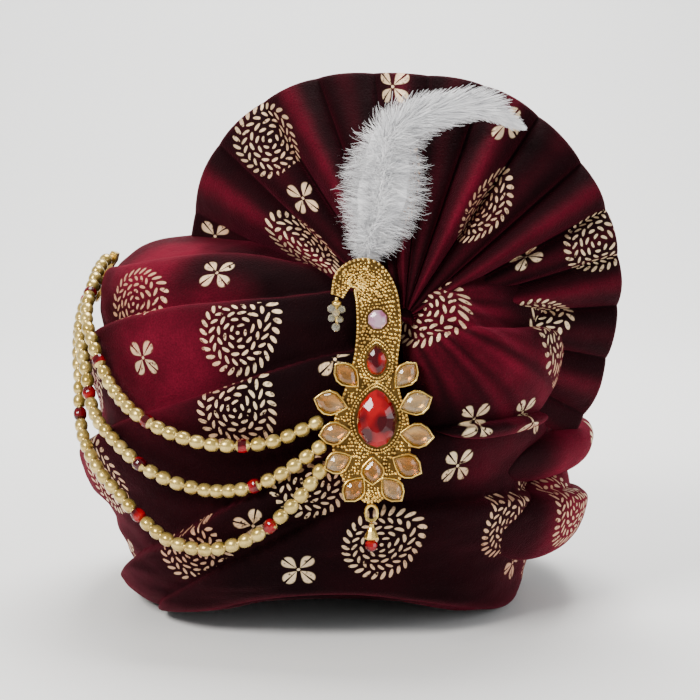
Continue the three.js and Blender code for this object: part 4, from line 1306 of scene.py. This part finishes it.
def gold_finish(name, bright, tarnished):
    """Gold plating, bright in some places and tarnished in others."""
    finish, tree, metal, place = start_finish(name)
    tarnish = noise_of(tree, place, scale=140, detail=3, low=0.35, high=0.7)
    tree.links.new(blend_colours(tree, tarnish, bright, tarnished), metal.inputs["Base Color"])
    roughness = math_step(tree, "MULTIPLY_ADD", tarnish, 0.15, 0.2)
    tree.links.new(roughness, metal.inputs["Roughness"])
    metal.inputs["Metallic"].default_value = 1.0
    return finish


gold = gold_finish("gold plating", (0.93, 0.68, 0.20, 1), (0.56, 0.34, 0.08, 1))
dark_gold = gold_finish("darkened gold ground", (0.36, 0.20, 0.05, 1), (0.08, 0.04, 0.012, 1))
brooch.data.materials.append(gold)
brooch.data.materials.append(dark_gold)
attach(brooch, "root")
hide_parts("brooch_plate")


# The stones and the drops: cut glass and turned gold beads, small enough that their own faces are theirs.
CRYSTAL_GRAIN = {"scale": 60, "detail": 1, "low": 0.38, "high": 0.62}
ROSE_CLOUD = {"scale": 150, "detail": 1, "low": 0.4, "high": 0.6}
AMBER_TINTS = ((0.60, 0.33, 0.07, 1), (0.80, 0.66, 0.44, 1))
ROSE_TINTS = ((0.62, 0.22, 0.42, 1), (0.86, 0.60, 0.74, 1))
CLEAR_TINTS = ((0.82, 0.76, 0.52, 1), (0.93, 0.91, 0.82, 1))
crystal = cut_glass("pale crystal", AMBER_TINTS, CRYSTAL_GRAIN, clear=0.85)[0]
rose = cut_glass("rose crystal", ROSE_TINTS, ROSE_CLOUD, clear=0.6)[0]
clear_bead = cut_glass("clear bead", CLEAR_TINTS, CRYSTAL_GRAIN, clear=0.85)[0]

FINISHES = {
    "ruby_large": red_glass, "ruby_small": red_glass, "rose_crystal": rose, "drop_loop": gold,
    "drop_bell": gold, "drop_bead": red_glass, "string_clasp": gold,
}
for number in range(len(PETALS)):
    FINISHES[f"petal_crystal_{number + 1}"] = crystal
for node, finish in FINISHES.items():
    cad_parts[node].data.materials[0] = finish


# The hook's drop: a short turned stem of gold that hangs from the hook's tip on its ring, with small clear
# beads wired round it. It hangs free of the cloth.
HOOK_DROP = {"x": -6.2, "y": -112.2, "sides": 16}
HOOK_STEM = [
    {"radius": 0, "z": 171.0},
    {"radius": 0.9, "z": 170.6},
    {"radius": 0.9, "z": 169.4},
    {"radius": 2.4, "z": 168.4},
    {"radius": 2.2, "z": 167.2},
    {"radius": 0.7, "z": 165.8},
    {"radius": 0.7, "z": 157.6},
    {"radius": 0, "z": 157.2},
]
HOOK_BEADS = [
    {"aside": -2.5, "out": 0.6, "z": 165.3, "radius": 2.0},
    {"aside": 2.3, "out": 0.2, "z": 164.9, "radius": 1.9},
    {"aside": -0.3, "out": 2.3, "z": 163.4, "radius": 1.9},
    {"aside": 0.2, "out": -2.2, "z": 163.8, "radius": 1.8},
    {"aside": -2.4, "out": 0.5, "z": 160.9, "radius": 1.8},
    {"aside": 1.6, "out": 0.9, "z": 160.3, "radius": 1.6},
    {"aside": -0.4, "out": 0.4, "z": 156.6, "radius": 2.1},
]
hook_shape = bmesh.new()


def stem_surface(column, row):
    """The stem, turned from its profile, top first."""
    radius = profile_at(HOOK_STEM, "radius", row)
    angle = 2 * np.pi * column
    x, y = HOOK_DROP["x"] + radius * np.cos(angle), HOOK_DROP["y"] + radius * np.sin(angle)
    return in_frame(np.stack([x, y, profile_at(HOOK_STEM, "z", row)], -1))


add_skin(hook_shape, HOOK_DROP["sides"], 2 * (len(HOOK_STEM) - 1), stem_surface)
stem_faces = len(hook_shape.faces)
for bead in HOOK_BEADS:
    middle = in_frame([HOOK_DROP["x"] + bead["aside"], HOOK_DROP["y"] - bead["out"], bead["z"]])
    made = bmesh.ops.create_icosphere(hook_shape, subdivisions=2, radius=bead["radius"] / 1000)
    bmesh.ops.translate(hook_shape, vec=Vector(middle), verts=made["verts"])
hook_drop = piece_of("hook_beads", hook_shape)
hook_drop.data.materials.append(gold)
hook_drop.data.materials.append(clear_bead)
for face in hook_drop.data.polygons[stem_faces:]:
    face.material_index = 1
    face.use_smooth = False
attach(hook_drop, "root")
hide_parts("hook_drop")


# The plume: a soft white feather with long loose barbs, its quill held behind the brooch's hook. It stands
# up, fluffs out at its lower part and bends over to the right.
PLUME = [
    {"x": 8, "y": -102, "z": 185, "half": 2.5, "thick": 1.2},
    {"x": 9, "y": -100, "z": 195, "half": 11, "thick": 3.6},
    {"x": 13, "y": -95, "z": 209, "half": 18, "thick": 6.5},
    {"x": 16, "y": -88, "z": 225, "half": 20, "thick": 8},
    {"x": 17, "y": -82, "z": 239, "half": 16, "thick": 6.5},
    {"x": 25, "y": -77, "z": 250, "half": 11.5, "thick": 4.5},
    {"x": 42, "y": -71, "z": 256, "half": 9.5, "thick": 3},
    {"x": 62, "y": -67, "z": 257, "half": 6.2, "thick": 2},
    {"x": 85, "y": -64, "z": 248, "half": 0.6, "thick": 0.6},
]
BARBS = 16000
BARB_STEPS = 5
QUILL = {"radius": 0.75, "taper": 0.8, "step": 0.02, "sides": 8, "rows": 60}
PLUME_CORE = {"from": 0.02, "to": 0.72, "wide": 0.56, "thick": 0.22, "sides": 40, "rows": 90}
# The down stands out all round as far as here, and from here on the barbs are combed along the quill.
COMBING = {"from": 0.5, "over": 0.25, "longer": 0.25, "drawn_in": 0.35, "forward": 1.7}
BARB = {"forward": 0.35, "curl": 0.2, "curl_limit": 9, "bend": 0.055, "droop": 0.3, "taper": 0.7}
random_barbs = np.random.default_rng(7)
barb_share = random_barbs.uniform(0.02, 0.99, BARBS)
barb_turn = random_barbs.uniform(0, 2 * np.pi, BARBS)
barb_size = random_barbs.uniform(0.65, 1.12, BARBS)
barb_lean = random_barbs.uniform(0.5, 1.1, BARBS)
barb_curl = random_barbs.normal(0, 1, (BARBS, 3))
barb_width = random_barbs.uniform(0.16, 0.32, BARBS)
barb_bend = random_barbs.normal(0, 1, (BARBS, 3))


def quill_point(share):
    """Points of the quill's middle."""
    return np.stack([along(PLUME, key, np.clip(share, 0, 1)) for key in ("x", "y", "z")], -1)


def plume_line(share):
    """The quill's middle, its way on, and the ways across it and back from it."""
    ahead = unit(quill_point(share + QUILL["step"]) - quill_point(share - QUILL["step"]))
    backward = unit(np.array([0.0, 1.0, 0.0]) - ahead * ahead[:, 1:2])
    return quill_point(share), ahead, np.cross(ahead, backward), backward


def barb_surface(column, row):
    """Each barb as a thin ribbon that leaves the quill, bends on along it and curls at its tip."""
    place = np.rint(row * (BARBS * (BARB_STEPS + 1) - 1)).astype(int)
    number, step = place // (BARB_STEPS + 1), (place % (BARB_STEPS + 1)) / BARB_STEPS
    share = barb_share[number]
    root, ahead, side, backward = plume_line(share)
    combed = np.clip((share - COMBING["from"]) / COMBING["over"], 0, 1)
    half = along(PLUME, "half", share) * barb_size[number] * (1 + COMBING["longer"] * combed)
    thick = along(PLUME, "thick", share) * barb_size[number]
    out = oval_about(barb_turn[number] / (2 * np.pi), side, backward, half, thick)
    forward = BARB["forward"] + COMBING["forward"] * combed
    on = ahead * (half * forward * barb_lean[number])[:, None]
    out = out * (1 - COMBING["drawn_in"] * combed)[:, None]
    point = root + out * step[:, None] + on * (step ** (2 - 0.8 * combed))[:, None]
    curl = np.minimum(half, BARB["curl_limit"]) * BARB["curl"] * (1 - 0.75 * combed) * step**2
    bend = half * BARB["bend"] * (1 - 0.8 * combed) * np.sin(2 * np.pi * step)
    point += barb_curl[number] * curl[:, None] + barb_bend[number] * bend[:, None]
    point[:, 2] -= half * BARB["droop"] * (1 - combed) * step**2
    across_way = np.cross(out + 2 * on * step[:, None], ahead + 0.4 * barb_curl[number])
    across_way /= np.linalg.norm(across_way, axis=1, keepdims=True) + 1e-9
    width = barb_width[number] * (1 - BARB["taper"] * step)
    return in_frame(point + across_way * (width * (column * 2 - 1))[:, None])


plume_shape = bmesh.new()
barb_rows = BARBS * (BARB_STEPS + 1) - 1
made = bmesh.ops.create_grid(plume_shape, x_segments=1, y_segments=barb_rows, size=0.5)["verts"]
spots = np.array([vertex.co[:2] for vertex in made]) + 0.5
gaps_between = [
    face for face in plume_shape.faces
    if int((face.calc_center_median().y + 0.5) * barb_rows) % (BARB_STEPS + 1) == BARB_STEPS
]
for vertex, place in zip(made, barb_surface(spots[:, 0], spots[:, 1])):
    vertex.co = place
bmesh.ops.delete(plume_shape, geom=gaps_between, context="FACES")


def quill_surface(column, row):
    """The quill, a thin tapering tube."""
    point, ahead, side, backward = plume_line(row)
    radius = QUILL["radius"] * (1 - QUILL["taper"] * row)
    return in_frame(point + oval_about(column, side, backward, radius, radius))


def core_surface(column, row):
    """The dense down under the barbs, a soft body that the loose tips stand out of."""
    share = PLUME_CORE["from"] + (PLUME_CORE["to"] - PLUME_CORE["from"]) * row
    point, ahead, side, backward = plume_line(share)
    angle = 2 * np.pi * column
    size = np.sqrt(np.clip(np.sin(np.pi * row), 0, 1))
    size = size * (1 + 0.1 * np.sin(3 * angle + 9 * row) + 0.07 * np.sin(5 * angle - 23 * row))
    wide = along(PLUME, "half", share) * PLUME_CORE["wide"] * size
    thick = along(PLUME, "thick", share) * PLUME_CORE["thick"] * size
    return in_frame(point + oval_about(column, side, backward, wide, thick))


add_skin(plume_shape, QUILL["sides"], QUILL["rows"], quill_surface)
add_skin(plume_shape, PLUME_CORE["sides"], PLUME_CORE["rows"], core_surface)
plume = piece_of("white_plume", plume_shape)

down, tree, soft, place = start_finish("white feather")
shade = noise_of(tree, place, scale=90, detail=2, low=0.3, high=0.7)
feather_white = blend_colours(tree, shade, (0.80, 0.80, 0.82, 1), (0.95, 0.95, 0.96, 1))
tree.links.new(feather_white, soft.inputs["Base Color"])
soft.inputs["Roughness"].default_value = 0.7
soft.inputs["Specular IOR Level"].default_value = 0.2
soft.inputs["Sheen Weight"].default_value = 0.3
plume.data.materials.append(down)
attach(plume, "root")
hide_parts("plume")
